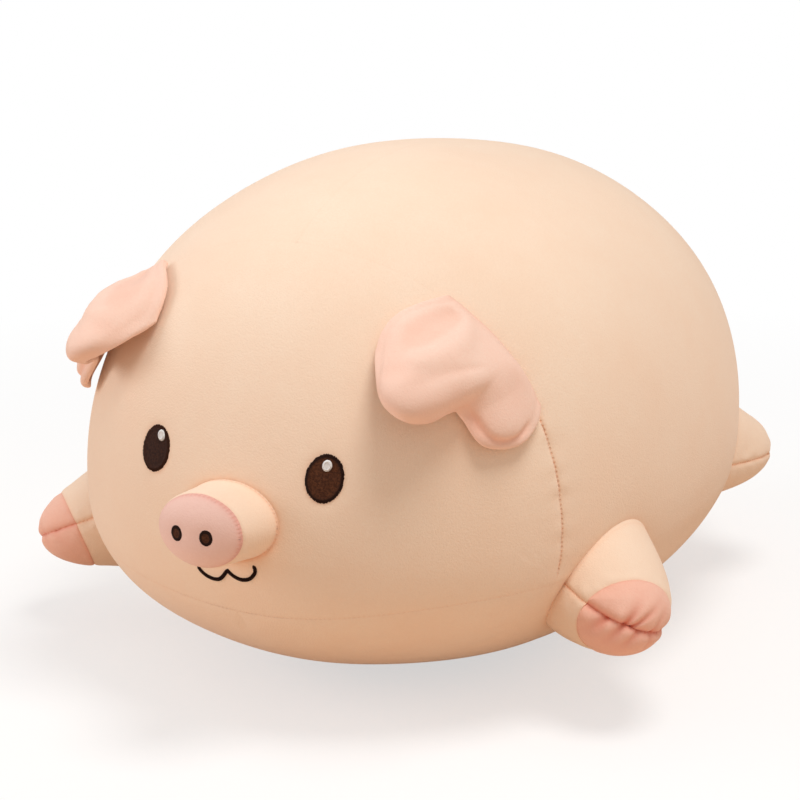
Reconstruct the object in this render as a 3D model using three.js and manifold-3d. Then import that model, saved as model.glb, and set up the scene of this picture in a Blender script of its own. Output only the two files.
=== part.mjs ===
// Plush pig, a round stuffed toy that lies on its belly: a stuffed body under a face panel, two side
// panels and a belly panel, a stuffed snout, embroidered eyes and mouth, two ears that fold on their
// seams, four stuffed legs with pink hooves, and a curled tail.
// Millimetres, +Z up. The pig faces -Y and its left side is +X. The origin is on the floor, under the
// middle of the body.
import * as THREE from "three";
import { mergeVertices } from "three/addons/utils/BufferGeometryUtils.js";
import Module from "manifold-3d";

const wasm = await Module();
wasm.setup();

// Fabric and clearances.
const plush = 2;
const clearance = 0.3;
const weldTolerance = 1e-3;
const cutOverrun = 60;
const seatOverrun = 6;
const flatDepth = 0.5;

// Body, measured from the level where it is widest.
const bodyHalfWidth = 168;
const bodyHalfLength = 238;
const crownRise = 179;
const bellyDrop = 106.3;
const endRoundnessShare = 2.3;
const sectionRoundnessShare = 2.14;
const widthTaperShare = -0.08;
const crownTaperShare = -0.095;
const levelTiltShare = -0.018;
const widestLevel = bellyDrop - flatDepth;
const slopeStepShare = 1e-5;
const halvings = 50;

// Seams of the body, in shares of the unit ball that it is stretched from: how far behind its middle
// the cross seam lies at the crown and the cheeks, and the level of the belly panel's rim.
const crownSeamShare = -0.693;
const cheekSeamShare = -0.609;
const chinSeamShare = -0.275;
const flankSeamShare = -0.19;
const faceColumns = 20;
const faceRows = 8;
const sideColumns = 10;
const sideRows = faceColumns / 2;
const bellyRows = 8;
const bellyPatchShare = 0.04;

// Snout. Its level, and those of the eyes and the mouth, rise from the level where the body is widest.
const snoutRise = 20.2;
const snoutReach = 27;
const snoutDome = 8;
const padHalfWidth = 25.5;
const padHalfHeight = 20;
const snoutBaseHalfWidth = 29.5;
const snoutBaseHalfHeight = 21.8;
const snoutBaseDrop = 3;
const snoutWaist = 0.8;
const padRoundnessShare = 2.5;
const nostrilHalfWidth = 3.1;
const nostrilHalfHeight = 3.9;
const nostrilSpacing = 17.6;
const nostrilThickness = 0.8;
const nostrilRings = 1;
const snoutSides = 20;
const snoutRings = 3;
const padRings = 3;

// Embroidery. The eyes sit a little to the pig's left, and its left eye sits a little lower. The mouth
// sits a little to its right.
const stitchHeight = 1.1;
const eyeSpacing = 102.4;
const eyeRise = 46.7;
const eyeShift = 1.6;
const eyeTilt = 1.4;
const eyeHalfWidth = 10;
const eyeHalfHeight = 12.6;
const highlightHalfWidth = 2.7;
const highlightHalfHeight = 3.3;
const highlightRise = 6.9;
const highlightShift = 1.6;
const highlightHeight = 0.6;
const eyeSides = 18;
const eyeRings = 2;
const highlightSides = 12;
const mouthRise = -9.8;
const mouthDrop = 5.6;
const mouthHalfWidth = 17;
const mouthLineWidth = 1.5;
const mouthEndRise = 3;
const mouthShift = -1.3;
const mouthSteps = 24;

// Legs. A foot is the ball that ends a leg, and stands off the body's surface. A root is where the
// leg's axis starts, below that surface. Each lies in a direction of the unit ball.
const frontFootShares = [0.834, -0.478, -0.276];
const frontFootStandoff = 27;
const frontRootShares = [0.824, -0.309, -0.474];
const frontRootDepth = 32.6;
const hindFootShares = [0.742, 0.634, -0.219];
const hindFootStandoff = 3.4;
const hindRootShares = [0.804, 0.449, -0.391];
const hindRootDepth = 40.9;
const footRadius = 27;
const legRootHalfWidth = 42;
const legRootHalfHeight = 37;
const legTaperShare = 2;
const hoofLength = 23;
const soleDimple = 3;
const dimpleWidth = 9;
const legSides = 8;
const sleeveRings = 3;
const hoofRings = 2;

// Ears. Seam angles are measured in the body's section, up from its side.
const earTopAngle = 55;
const earBottomAngle = 25;
const earReach = 85;
const earStandoff = 20;
const earSlope = 8;
const earPlush = 1.6;
const earWadding = 3.6;
const earCamber = 4;
const earFoldReach = 15;
const earFoldShare = 10;
const earSideHangShare = 4.5;
const earProbeShare = 1e-3;
const earColumns = 10;
const earRows = 9;
const earRowShare = 1.9;

// The free edges of an ear, from its sewn edge: along its top side, round its end, where a notch parts
// two lobes, and along its bottom side. A place is given by shares of half the sewn edge along it, of
// the reach outward and of the standoff from the head.
const earTopShares = [[-1.05, 0.1, 0.16], [-1.13, 0.2, 0.16], [-1.18, 0.31, 0.17], [-1.13, 0.42, 0.19]];
const earEndShares = [
  [-0.97, 0.53, 0.2], [-0.86, 0.61, 0.45], [-0.68, 0.7, 0.8], [-0.39, 0.81, 1.3], [-0.1, 0.8, 1.3],
  [0.1, 0.67, 0.78], [0.21, 0.51, 0.3], [0.45, 0.46, 0.17], [0.82, 0.48, 0.42], [1.06, 0.35, 0.25],
];
const earBottomShares = [[1.12, 0.08, 0.15], [1.19, 0.24, 0.28]];

// Tail.
const tailPlaceShare = 0.8;
const tailRadius = 7;
const tailTipRadius = 4.5;
const tailCurlRadius = 14;
const tailLead = 8;
const tailLeadShare = 0.3;
const tailPitch = 20;
const tailTurns = 1.1;
const tailRootAngles = [80, 50, 20];
const tailTipAngles = [35, 65, 90];
const tailPlush = 1.5;
const tailSteps = 12;
const tailSides = 7;

const peach = new THREE.Color(0.95, 0.8, 0.68);
const earPeach = new THREE.Color(0.95, 0.78, 0.69);
const pink = new THREE.Color(0.9, 0.62, 0.54);
const hoofPink = new THREE.Color(0.93, 0.64, 0.53);
const darkBrown = new THREE.Color(0.13, 0.06, 0.04);
const offWhite = new THREE.Color(0.92, 0.9, 0.87);
const fibreWhite = new THREE.Color(0.9, 0.9, 0.88);

const material = (color, roughness) => new THREE.MeshStandardMaterial({ color, roughness, metalness: 0 });
const plushFinish = material(peach, 0.95);
const earFinish = material(earPeach, 0.95);
const pinkFinish = material(pink, 0.9);
const hoofFinish = material(hoofPink, 0.92);
const threadFinish = material(darkBrown, 0.6);
const highlightFinish = material(offWhite, 0.6);
const fibreFinish = material(fibreWhite, 1);

const at = (x, y, z) => new THREE.Vector3(x, y, z);
const mix = (a, b, share) => a + (b - a) * share;
const radians = (degrees) => (degrees * Math.PI) / 180;
const signedPower = (value, power) => Math.sign(value) * Math.pow(Math.abs(value), power);
const mirrored = (surface) => (u, v) => surface(u, v).multiply(at(-1, 1, 1));

function smooth(value) {
  const share = Math.min(1, Math.max(0, value));
  return share * share * (3 - 2 * share);
}

// Closed solids from grids of points

function grid(surface, columns, rows) {
  const points = [];
  for (let i = 0; i <= columns; i += 1) {
    const column = [];
    for (let j = 0; j <= rows; j += 1) column.push(surface(i / columns, j / rows));
    points.push(column);
  }
  return points;
}

// Welds loose triangles into one surface and turns its faces outward.
function welded(corners) {
  const loose = new THREE.BufferGeometry().setFromPoints(corners);
  const geometry = mergeVertices(loose, weldTolerance);
  const position = geometry.getAttribute("position");
  const index = geometry.index.array;
  const kept = [];
  let volume = 0;
  for (let k = 0; k < index.length; k += 3) {
    const [a, b, c] = [index[k], index[k + 1], index[k + 2]];
    if (a === b || b === c || c === a) continue;
    kept.push(a, b, c);
    const [p, q, r] = [a, b, c].map((n) => new THREE.Vector3().fromBufferAttribute(position, n));
    volume += p.dot(q.cross(r));
  }
  geometry.setIndex(volume < 0 ? kept.reverse() : kept);
  geometry.computeVertexNormals();
  return geometry;
}

function surfaceCorners(points) {
  const corners = [];
  for (let i = 0; i + 1 < points.length; i += 1) {
    for (let j = 0; j + 1 < points[i].length; j += 1) {
      const [a, b, c, d] = [points[i][j], points[i + 1][j], points[i + 1][j + 1], points[i][j + 1]];
      corners.push(a, b, c, a, c, d);
    }
  }
  return corners;
}

function reversed(corners) {
  return [...corners].reverse();
}

// The strip of wall between the rims of two grids, along a list of grid places.
function wallCorners(outer, inner, places) {
  const corners = [];
  for (let k = 0; k + 1 < places.length; k += 1) {
    const [i, j] = places[k];
    const [m, n] = places[k + 1];
    corners.push(outer[i][j], inner[i][j], inner[m][n]);
    corners.push(outer[i][j], inner[m][n], outer[m][n]);
  }
  return corners;
}

// A sheet with thickness. A round one closes on itself from its last column to its first.
function closedSheet(outer, inner, round = false) {
  const lastColumn = outer.length - 1;
  const lastRow = outer[0].length - 1;
  const along = (row) => outer.map((column, i) => [i, row]);
  const across = (column) => outer[0].map((point, j) => [column, j]);
  const corners = surfaceCorners(outer).concat(reversed(surfaceCorners(inner)));
  corners.push(...wallCorners(outer, inner, along(0)));
  corners.push(...wallCorners(outer, inner, along(lastRow).reverse()));
  if (!round) {
    corners.push(...wallCorners(outer, inner, across(lastColumn)));
    corners.push(...wallCorners(outer, inner, across(0).reverse()));
  }
  return welded(corners);
}

function middle(points) {
  const sum = points.reduce((total, point) => total.add(point), new THREE.Vector3());
  return sum.divideScalar(points.length);
}

// A filling: a round grid with both ends capped.
function filled(points) {
  const lastRow = points[0].length - 1;
  const corners = surfaceCorners(points);
  const first = middle(points.slice(1).map((column) => column[0]));
  const last = middle(points.slice(1).map((column) => column[lastRow]));
  for (let i = 0; i + 1 < points.length; i += 1) {
    corners.push(first, points[i + 1][0], points[i][0]);
    corners.push(last, points[i][lastRow], points[i + 1][lastRow]);
  }
  return welded(corners);
}

function toManifold(geometry) {
  const vertProperties = new Float32Array(geometry.getAttribute("position").array);
  const triVerts = new Uint32Array(geometry.index.array);
  return new wasm.Manifold(new wasm.Mesh({ numProp: 3, vertProperties, triVerts }));
}

function fromManifold(solid) {
  const { vertProperties, triVerts } = solid.getMesh();
  const corner = (n) => new THREE.Vector3().fromArray(vertProperties, n * 3);
  return welded(Array.from(triVerts, corner));
}

const trimmed = (geometry, cutter) => fromManifold(toManifold(geometry).subtract(cutter));

// The body's surface, drawn from the directions of a unit ball

const bellyTaperShare = (levelTiltShare * crownRise) / bellyDrop;

function bodySection(share) {
  const end = Math.max(0, 1 - Math.pow(Math.abs(share), endRoundnessShare));
  return {
    rounding: Math.pow(end, 1 / endRoundnessShare),
    width: bodyHalfWidth * (1 + widthTaperShare * share),
    crown: crownRise * (1 + crownTaperShare * share),
    belly: bellyDrop * (1 + bellyTaperShare * share),
    level: widestLevel + levelTiltShare * share * crownRise,
  };
}

// Below nothing inside the body, and above it outside.
function bodyMeasure(point) {
  const share = point.y / bodyHalfLength;
  const { width, crown, belly, level } = bodySection(share);
  const rise = point.z - level;
  const across = Math.pow(Math.abs(point.x) / width, sectionRoundnessShare);
  const up = Math.pow(Math.abs(rise) / (rise >= 0 ? crown : belly), sectionRoundnessShare);
  const section = Math.pow(across + up, endRoundnessShare / sectionRoundnessShare);
  return section + Math.pow(Math.abs(share), endRoundnessShare) - 1;
}

function bodyNormal(point) {
  const step = bodyHalfLength * slopeStepShare;
  const slope = (offset) => bodyMeasure(point.clone().add(offset)) - bodyMeasure(point.clone().sub(offset));
  return at(slope(at(step, 0, 0)), slope(at(0, step, 0)), slope(at(0, 0, step))).normalize();
}

function onBody(direction, outward = 0) {
  const ball = direction.clone().normalize();
  const { rounding, width, crown, belly, level } = bodySection(ball.y);
  const ring = Math.hypot(ball.x, ball.z);
  const across = ring > 0 ? ball.x / ring : 0;
  const up = ring > 0 ? ball.z / ring : 0;
  const x = width * rounding * signedPower(across, 2 / sectionRoundnessShare);
  const z = (up >= 0 ? crown : belly) * rounding * signedPower(up, 2 / sectionRoundnessShare);
  const point = at(x, bodyHalfLength * ball.y, level + z);
  return point.addScaledVector(bodyNormal(point), outward);
}

// Halves the way from a value whose place is inside the body to one whose place is outside it.
function crossing(inside, outside, placeOf) {
  let [near, far] = [inside, outside];
  for (let round = 0; round < halvings; round += 1) {
    const halfway = (near + far) / 2;
    if (bodyMeasure(placeOf(halfway)) < 0) near = halfway;
    else far = halfway;
  }
  return near;
}

// The body's surface in front of (side -1) or behind (side 1) a place in the XZ plane.
function bodyEnd(x, z, side, outward = 0) {
  const point = at(x, crossing(0, side * bodyHalfLength * 2, (y) => at(x, y, z)), z);
  return point.addScaledVector(bodyNormal(point), outward);
}

// Seams

const onBall = (angle, y) => {
  const ring = Math.sqrt(Math.max(0, 1 - y * y));
  return at(Math.cos(angle) * ring, y, Math.sin(angle) * ring);
};
const flankRing = Math.sqrt(1 - flankSeamShare * flankSeamShare);
const cornerPlan = Math.acos(-cheekSeamShare / flankRing);

// The seam round the body between its upper panels and the belly panel, by plan angle from the nose.
function beltSeam(plan) {
  const chin = Math.cos((Math.min(1, Math.abs(plan) / cornerPlan) * Math.PI) / 2);
  const level = mix(flankSeamShare, chinSeamShare, chin * chin);
  const ring = Math.sqrt(1 - level * level);
  return at(Math.sin(plan) * ring, -Math.cos(plan) * ring, level);
}

const corner = beltSeam(cornerPlan);
const cornerAngle = Math.atan2(corner.z, corner.x);

// The seam between the face and the side panels, by section angle up from the left side.
function crossSeam(angle) {
  const up = Math.max(0, Math.sin(angle));
  return onBall(angle, mix(cheekSeamShare, crownSeamShare, up * up));
}

const crossSeamAlong = (share) => crossSeam(mix(cornerAngle, Math.PI - cornerAngle, share));

// The seam from the crown over the back, down to the belly panel.
function backSeam(share) {
  const start = crossSeam(Math.PI / 2);
  const angle = mix(Math.atan2(start.z, start.y), Math.atan2(flankSeamShare, flankRing), share);
  return at(0, Math.cos(angle), Math.sin(angle));
}

function between(a, b, share) {
  const angle = a.angleTo(b);
  if (angle < slopeStepShare) return a.clone();
  const from = a.clone().multiplyScalar(Math.sin(angle * (1 - share)));
  return from.addScaledVector(b, Math.sin(angle * share)).normalize();
}

const facePlace = (u, v) => between(beltSeam(cornerPlan * (1 - 2 * u)), crossSeamAlong(u), v);

function leftSidePlace(u, v) {
  const straight = between(beltSeam(mix(cornerPlan, Math.PI, u)), backSeam(u), v);
  const front = between(corner, backSeam(0), v);
  const bow = crossSeamAlong(v / 2).sub(front);
  return straight.addScaledVector(bow, (1 - u) * (1 - u)).normalize();
}

const bellyColumns = faceColumns / 2 + sideColumns;

// The belly's two middle rows are narrow, because the flat patch that the pig lies on is cut there.
function bellyRow(v) {
  const out = Math.abs(v - 1 / 2) * bellyRows;
  const wide = mix(bellyPatchShare, 1 / 2, (out - 1) / (bellyRows / 2 - 1));
  return 1 / 2 + Math.sign(v - 1 / 2) * (out < 1 ? out * bellyPatchShare : wide);
}

function bellyPlace(u, v) {
  const column = Math.round(u * bellyColumns) - faceColumns / 2;
  const plan =
    column <= 0
      ? cornerPlan * (1 + (2 * column) / faceColumns)
      : mix(cornerPlan, Math.PI, column / sideColumns);
  const rim = beltSeam(plan);
  const angle = Math.atan2(rim.z, rim.x);
  return onBall(mix(angle, -Math.PI - angle, bellyRow(v)), rim.y);
}

const panels = {
  face_panel: { place: facePlace, columns: faceColumns, rows: faceRows },
  left_side_panel: { place: leftSidePlace, columns: sideColumns, rows: sideRows },
  right_side_panel: { place: mirrored(leftSidePlace), columns: sideColumns, rows: sideRows },
  belly_panel: { place: bellyPlace, columns: bellyColumns, rows: bellyRows },
};

const panelGrid = ({ place, columns, rows }, outward) =>
  grid((u, v) => onBody(place(u, v), outward), columns, rows);

// Draws a panel's rim in, so that it stays clear of its neighbours along the seams.
function drawnIn(points) {
  const lastColumn = points.length - 1;
  const lastRow = points[0].length - 1;
  const pinched = (i) => points[i][0].distanceTo(points[i][lastRow]) < clearance;
  const pull = (from, to) => to.clone().sub(from).setLength(clearance / 2);
  return points.map((column, i) =>
    column.map((point, j) => {
      const moved = point.clone();
      if (i === 0 || i === lastColumn) {
        const next = points[i === 0 ? 1 : lastColumn - 1];
        moved.add(pull(point, pinched(i) ? middle(next) : next[j]));
        if (pinched(i)) return moved;
      }
      if (j === 0) moved.add(pull(point, column[1]));
      if (j === lastRow) moved.add(pull(point, column[lastRow - 1]));
      return moved;
    }),
  );
}

// Turns loose triangles so that they face away from a place.
function facedFrom(place, corners) {
  let facing = 0;
  for (let k = 0; k < corners.length; k += 3) {
    const [a, b, c] = corners.slice(k, k + 3);
    const normal = b.clone().sub(a).cross(c.clone().sub(a));
    facing += normal.dot(a.clone().sub(place));
  }
  return facing < 0 ? reversed(corners) : corners;
}

// The whole body's surface, closed, and moved outward or inward.
function bodyOutline(outward) {
  const heart = at(0, 0, widestLevel);
  const patches = Object.values(panels).map((panel) => surfaceCorners(panelGrid(panel, outward)));
  return welded(patches.flatMap((corners) => facedFrom(heart, corners)));
}

const pig = new THREE.Group();

function addPiece(name, geometry, finish, group = pig) {
  const mesh = new THREE.Mesh(geometry, finish);
  mesh.name = name;
  group.add(mesh);
}

function boxCorners(box) {
  const position = box.toNonIndexed().getAttribute("position");
  return Array.from({ length: position.count }, (unused, n) => at(0, 0, 0).fromBufferAttribute(position, n));
}

const underFloor = new THREE.BoxGeometry(2 * bodyHalfLength, 2 * bodyHalfLength, cutOverrun);
underFloor.translate(0, 0, -cutOverrun / 2);
const floorCutter = toManifold(welded(boxCorners(underFloor)));

// What is sewn on to the body starts inside this outline of it and is trimmed by it.
const bodyCutter = toManifold(bodyOutline(clearance));

function addBody() {
  addPiece("body_stuffing", bodyOutline(-plush - clearance), fibreFinish);
  for (const [name, panel] of Object.entries(panels)) {
    const cover = closedSheet(drawnIn(panelGrid(panel, 0)), drawnIn(panelGrid(panel, -plush)));
    addPiece(name, name === "belly_panel" ? trimmed(cover, floorCutter) : cover, plushFinish);
  }
}

// Snout: a band sewn to the face, closed by a domed pad and filled

const snoutLevel = widestLevel + snoutRise;
const snoutBack = bodyEnd(0, snoutLevel, -1).y + seatOverrun;
const snoutFront = snoutBack - seatOverrun - snoutReach;

// Columns run round the snout, and rows from the face to the pad.
function snoutWall(inset, front) {
  return (u, v) => {
    const angle = 2 * Math.PI * u;
    const waist = inset + snoutWaist * Math.sin(Math.PI * v);
    const halfWidth = mix(snoutBaseHalfWidth, padHalfWidth, v) - waist;
    const halfHeight = mix(snoutBaseHalfHeight, padHalfHeight, v) - waist;
    const z = snoutLevel - mix(snoutBaseDrop, 0, v) + halfHeight * Math.sin(angle);
    return at(halfWidth * Math.cos(angle), mix(snoutBack, front, v), z);
  };
}

// How far the pad's face stands in front of its rim.
function padRise(x, z) {
  const out = Math.hypot(x / padHalfWidth, (z - snoutLevel) / padHalfHeight);
  return snoutDome * Math.max(0, 1 - Math.pow(out, padRoundnessShare));
}

// An oval on the pad's face, moved forward from it.
function padOval(centreX, halfWidth, halfHeight, forward) {
  return (u, v) => {
    const angle = 2 * Math.PI * u;
    const x = centreX + halfWidth * v * Math.cos(angle);
    const z = snoutLevel + halfHeight * v * Math.sin(angle);
    return at(x, snoutFront - plush - clearance - padRise(x, z) - forward, z);
  };
}

function addSnout() {
  const inset = plush + clearance;
  const wall = (depth, front) => grid(snoutWall(depth, front), snoutSides, snoutRings);
  const oval = (centreX, halfWidth, halfHeight, forward, rings) =>
    grid(padOval(centreX, halfWidth, halfHeight, forward), snoutSides, rings);
  const band = closedSheet(wall(0, snoutFront), wall(plush, snoutFront), true);
  addPiece("snout_band", trimmed(band, bodyCutter), plushFinish);
  const crown = (forward) => oval(0, padHalfWidth - inset, padHalfHeight - inset, forward, padRings);
  const rim = (forward) => oval(0, padHalfWidth, padHalfHeight, forward, 1);
  const face = (forward) => crown(forward).map((column, i) => [...column, rim(forward)[i][1]]);
  addPiece("snout_pad", closedSheet(face(0), face(-plush), true), pinkFinish);
  const top = crown(-inset);
  const core = wall(inset, snoutFront).map((column, i) => column.slice(0, -1).concat(reversed(top[i])));
  addPiece("snout_stuffing", trimmed(filled(core), bodyCutter), fibreFinish);
  for (const [side, name] of [[1, "left_nostril"], [-1, "right_nostril"]]) {
    const place = (forward) =>
      oval((side * nostrilSpacing) / 2, nostrilHalfWidth, nostrilHalfHeight, forward, nostrilRings);
    const nostril = closedSheet(place(clearance + nostrilThickness), place(clearance), true);
    addPiece(name, nostril, threadFinish);
  }
}

// Embroidery: patches of satin stitch that stand a little proud of the face

function faceOval(centre, halfWidth, halfHeight, outward) {
  return (u, v) => {
    const angle = 2 * Math.PI * u;
    const x = centre.x + halfWidth * v * Math.cos(angle);
    const z = centre.z + halfHeight * v * Math.sin(angle);
    return bodyEnd(x, z, -1, outward);
  };
}

function addEyes() {
  const top = clearance + stitchHeight;
  for (const [side, name] of [[1, "left_eye"], [-1, "right_eye"]]) {
    const level = widestLevel + eyeRise - side * eyeTilt;
    const centre = at(eyeShift + (side * eyeSpacing) / 2, 0, level);
    const oval = (outward) =>
      grid(faceOval(centre, eyeHalfWidth, eyeHalfHeight, outward), eyeSides, eyeRings);
    addPiece(name, trimmed(closedSheet(oval(top), oval(-plush), true), bodyCutter), threadFinish);
    const spot = at(centre.x + highlightShift, 0, centre.z + highlightRise);
    const dot = (outward) =>
      grid(faceOval(spot, highlightHalfWidth, highlightHalfHeight, outward), highlightSides, 1);
    const highlight = closedSheet(dot(top + clearance + highlightHeight), dot(top + clearance), true);
    addPiece(name + "_highlight", highlight, highlightFinish);
  }
}

// The mouth is a line in the shape of a w: two arcs that meet under the snout.
function mouthPlace(share) {
  const x = mix(-mouthHalfWidth, mouthHalfWidth, share);
  const lobe = (Math.abs(x) * 2) / mouthHalfWidth - 1;
  const rise = mouthEndRise * smooth(lobe);
  const drop = mouthDrop * Math.sqrt(Math.max(0, 1 - lobe * lobe));
  return at(mouthShift + x, 0, widestLevel + mouthRise + rise - drop);
}

function addMouth() {
  const half = mouthLineWidth / 2;
  const places = Array.from({ length: mouthSteps + 1 }, (unused, k) => {
    const swing = (1 - Math.cos((2 * Math.PI * k) / mouthSteps)) / 4;
    return mouthPlace(k <= mouthSteps / 2 ? swing : 1 - swing);
  });
  const rim = (side, outward) =>
    places.map((place, k) => {
      const before = places[Math.max(0, k - 1)];
      const after = places[Math.min(mouthSteps, k + 1)];
      const along = after.clone().sub(before).normalize();
      const x = place.x - side * half * along.z;
      const z = place.z + side * half * along.x;
      return bodyEnd(x, z, -1, outward);
    });
  const sides = (outward) => [rim(-1, outward), rim(1, outward)];
  const line = closedSheet(sides(clearance + stitchHeight), sides(-plush));
  addPiece("mouth", trimmed(line, bodyCutter), threadFinish);
}

// Legs: an upper and a lower cover, each with a pink hoof, sewn together at the sides and the sole

function legFrame(footShares, footStandoff, rootShares, rootDepth) {
  const start = onBody(at(...rootShares), -rootDepth);
  const out = onBody(at(...footShares), footStandoff).sub(start);
  const length = out.length() + footRadius;
  out.normalize();
  const across = at(out.y, -out.x, 0).normalize();
  const up = across.clone().cross(out).normalize();
  if (up.z < 0) up.negate();
  return { start, out, across, up, length };
}

// A place on a leg: the angle round its axis, and girth as a share of the root's.
function legSurface({ start, out, across, up, length }, angle, girth, inset, dimpled) {
  const reach = Math.pow(1 - girth * girth, 1 / legTaperShare);
  const side = legRootHalfWidth * girth * Math.cos(angle);
  const rise = legRootHalfHeight * girth * Math.sin(angle);
  const normal = across.clone().multiplyScalar(side / (legRootHalfWidth * legRootHalfWidth));
  normal.addScaledVector(up, rise / (legRootHalfHeight * legRootHalfHeight));
  normal.addScaledVector(out, (legTaperShare * Math.pow(reach, legTaperShare - 1)) / (2 * length));
  const dimple = dimpled * soleDimple * Math.exp(-Math.pow(rise / dimpleWidth, 2));
  const point = start.clone().addScaledVector(across, side).addScaledVector(up, rise);
  point.addScaledVector(out, length * reach - dimple);
  return point.addScaledVector(normal.normalize(), -inset);
}

function addLeg(name, frame, side) {
  const hoofReach = 1 - hoofLength / frame.length;
  const hoofGirth = Math.sqrt(1 - Math.pow(hoofReach, legTaperShare));
  const reachGirth = (reach) => Math.sqrt(1 - Math.pow(reach, legTaperShare));
  const sleeveGirth = (v) => reachGirth(hoofReach * v);
  const hoofGirthAt = (v) => hoofGirth * (1 - v);
  const dimpleAt = (girth) => Math.max(0, 1 - Math.pow(girth / hoofGirth, 2));
  const place = (turn, girthAt, inset, shift) => (u, v) => {
    const girth = girthAt(v);
    const dimple = reachGirth(hoofReach) >= girth ? dimpleAt(girth) : 0;
    const point = legSurface(frame, Math.PI * (turn + u), girth, inset, dimple).add(shift);
    return point.multiply(at(side, 1, 1));
  };
  for (const [half, turn, lift] of [["upper", 0, 1], ["lower", 1, -1]]) {
    const shift = frame.up.clone().multiplyScalar((lift * clearance) / 2);
    const sleeve = (inset) => grid(place(turn, sleeveGirth, inset, shift), legSides, sleeveRings);
    const cover = trimmed(closedSheet(sleeve(0), sleeve(plush)), bodyCutter);
    addPiece(name + "_" + half + "_cover", cover, plushFinish);
    const forward = shift.clone().addScaledVector(frame.out, clearance);
    const tip = (inset) => grid(place(turn, hoofGirthAt, inset, forward), legSides, hoofRings);
    addPiece(name + "_" + half + "_hoof", trimmed(closedSheet(tip(0), tip(plush)), bodyCutter), hoofFinish);
  }
  const whole = (girthAt) => (u, v) => place(0, girthAt, plush + clearance, at(0, 0, 0))(2 * u, v);
  const shaft = grid(whole(sleeveGirth), 2 * legSides, sleeveRings);
  const end = grid(whole(hoofGirthAt), 2 * legSides, hoofRings);
  const core = shaft.map((column, i) => column.slice(0, -1).concat(end[i]));
  addPiece(name + "_stuffing", trimmed(filled(core), bodyCutter), fibreFinish);
}

function addLegs() {
  const front = legFrame(frontFootShares, frontFootStandoff, frontRootShares, frontRootDepth);
  const hind = legFrame(hindFootShares, hindFootStandoff, hindRootShares, hindRootDepth);
  for (const [side, word] of [[1, "left"], [-1, "right"]]) {
    addLeg("front_" + word + "_leg", front, side);
    addLeg("hind_" + word + "_leg", hind, side);
  }
}

// Ears: two layers of plush round a thin wadding, sewn in the cross seam, with the end folded down

const earRootHalf = earPlush + clearance / 2;
const earRoot = (share) =>
  onBody(crossSeam(radians(mix(earTopAngle, earBottomAngle, share))), earRootHalf + clearance);
const earHinge = earRoot(1 / 2);
const earBase = earRoot(1).sub(earRoot(0));
const earHalfBase = earBase.length() / 2;
earBase.normalize();
const earOut = at(0, -1, 0).addScaledVector(earBase, earBase.y).normalize();
earOut.applyAxisAngle(earBase, radians(earSlope));
const earUp = earOut.clone().cross(earBase).normalize();

// The ear's own frame: along the sewn edge from its top, out to the end, and away from the head.
const earPlace = (along, out, rise) =>
  earHinge.clone().addScaledVector(earBase, along).addScaledVector(earOut, out).addScaledVector(earUp, rise);
const earOffsets = (point) => {
  const offset = point.clone().sub(earHinge);
  return at(offset.dot(earBase), offset.dot(earOut), offset.dot(earUp));
};

// The level of the head's surface in that frame.
const headLevel = (along, out) =>
  crossing(-bodyHalfWidth / 2, earReach, (rise) => earPlace(along, out, rise));

function earSized([alongShare, outShare, standoffShare]) {
  const along = alongShare * earHalfBase;
  const out = outShare * earReach;
  return at(along, out, headLevel(along, out) + standoffShare * earStandoff);
}

const [earEndStart, earEndStop] = [earEndShares[0], earEndShares[earEndShares.length - 1]].map(earSized);
const [earSewnStart, earSewnStop] = [earRoot(0), earRoot(1)].map(earOffsets);
const earEdge = (places) => new THREE.CatmullRomCurve3(places);
const earTopEdge = earEdge([earSewnStart, ...earTopShares.map(earSized), earEndStart]);
const earEndEdge = earEdge(earEndShares.map(earSized));
const earBottomEdge = earEdge([earSewnStop, ...earBottomShares.map(earSized), earEndStop]);

// A place on the middle of the left ear: u runs down the sewn edge, and v out to the end. The plush
// spans the sewn edge and the free ones. It stays level until near the end, where it folds down.
function earMiddle(u, v) {
  const sewn = earOffsets(earRoot(u));
  const [top, end, bottom] = [earTopEdge.getPoint(v), earEndEdge.getPoint(u), earBottomEdge.getPoint(v)];
  const spanned = (axis, across, upper, lower) => {
    const upperSide = top[axis] - mix(earSewnStart[axis], earEndStart[axis], across);
    const lowerSide = bottom[axis] - mix(earSewnStop[axis], earEndStop[axis], across);
    return mix(sewn[axis], end[axis], across) + upper * upperSide + lower * lowerSide;
  };
  const fold = Math.pow(v, earFoldShare);
  const swell = Math.sin(Math.PI * u);
  const out = spanned("y", v, 1 - u, u) + earFoldReach * Math.sin(Math.PI * fold) * swell;
  const rise = spanned("z", fold, Math.pow(1 - u, earSideHangShare), Math.pow(u, earSideHangShare));
  return earPlace(spanned("x", v, 1 - u, u), out, rise + earCamber * swell * Math.sin(Math.PI * v));
}

function earLayer(offset) {
  return (u, v) => {
    const [a, b] = [Math.min(u + earProbeShare, 1), Math.max(u - earProbeShare, 0)];
    const [c, d] = [Math.min(v + earProbeShare, 1), Math.max(v - earProbeShare, 0)];
    const down = earMiddle(a, v).sub(earMiddle(b, v));
    const out = earMiddle(u, c).sub(earMiddle(u, d));
    const normal = out.cross(down).normalize();
    return earMiddle(u, v).addScaledVector(normal, offset(u, v));
  };
}

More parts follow.
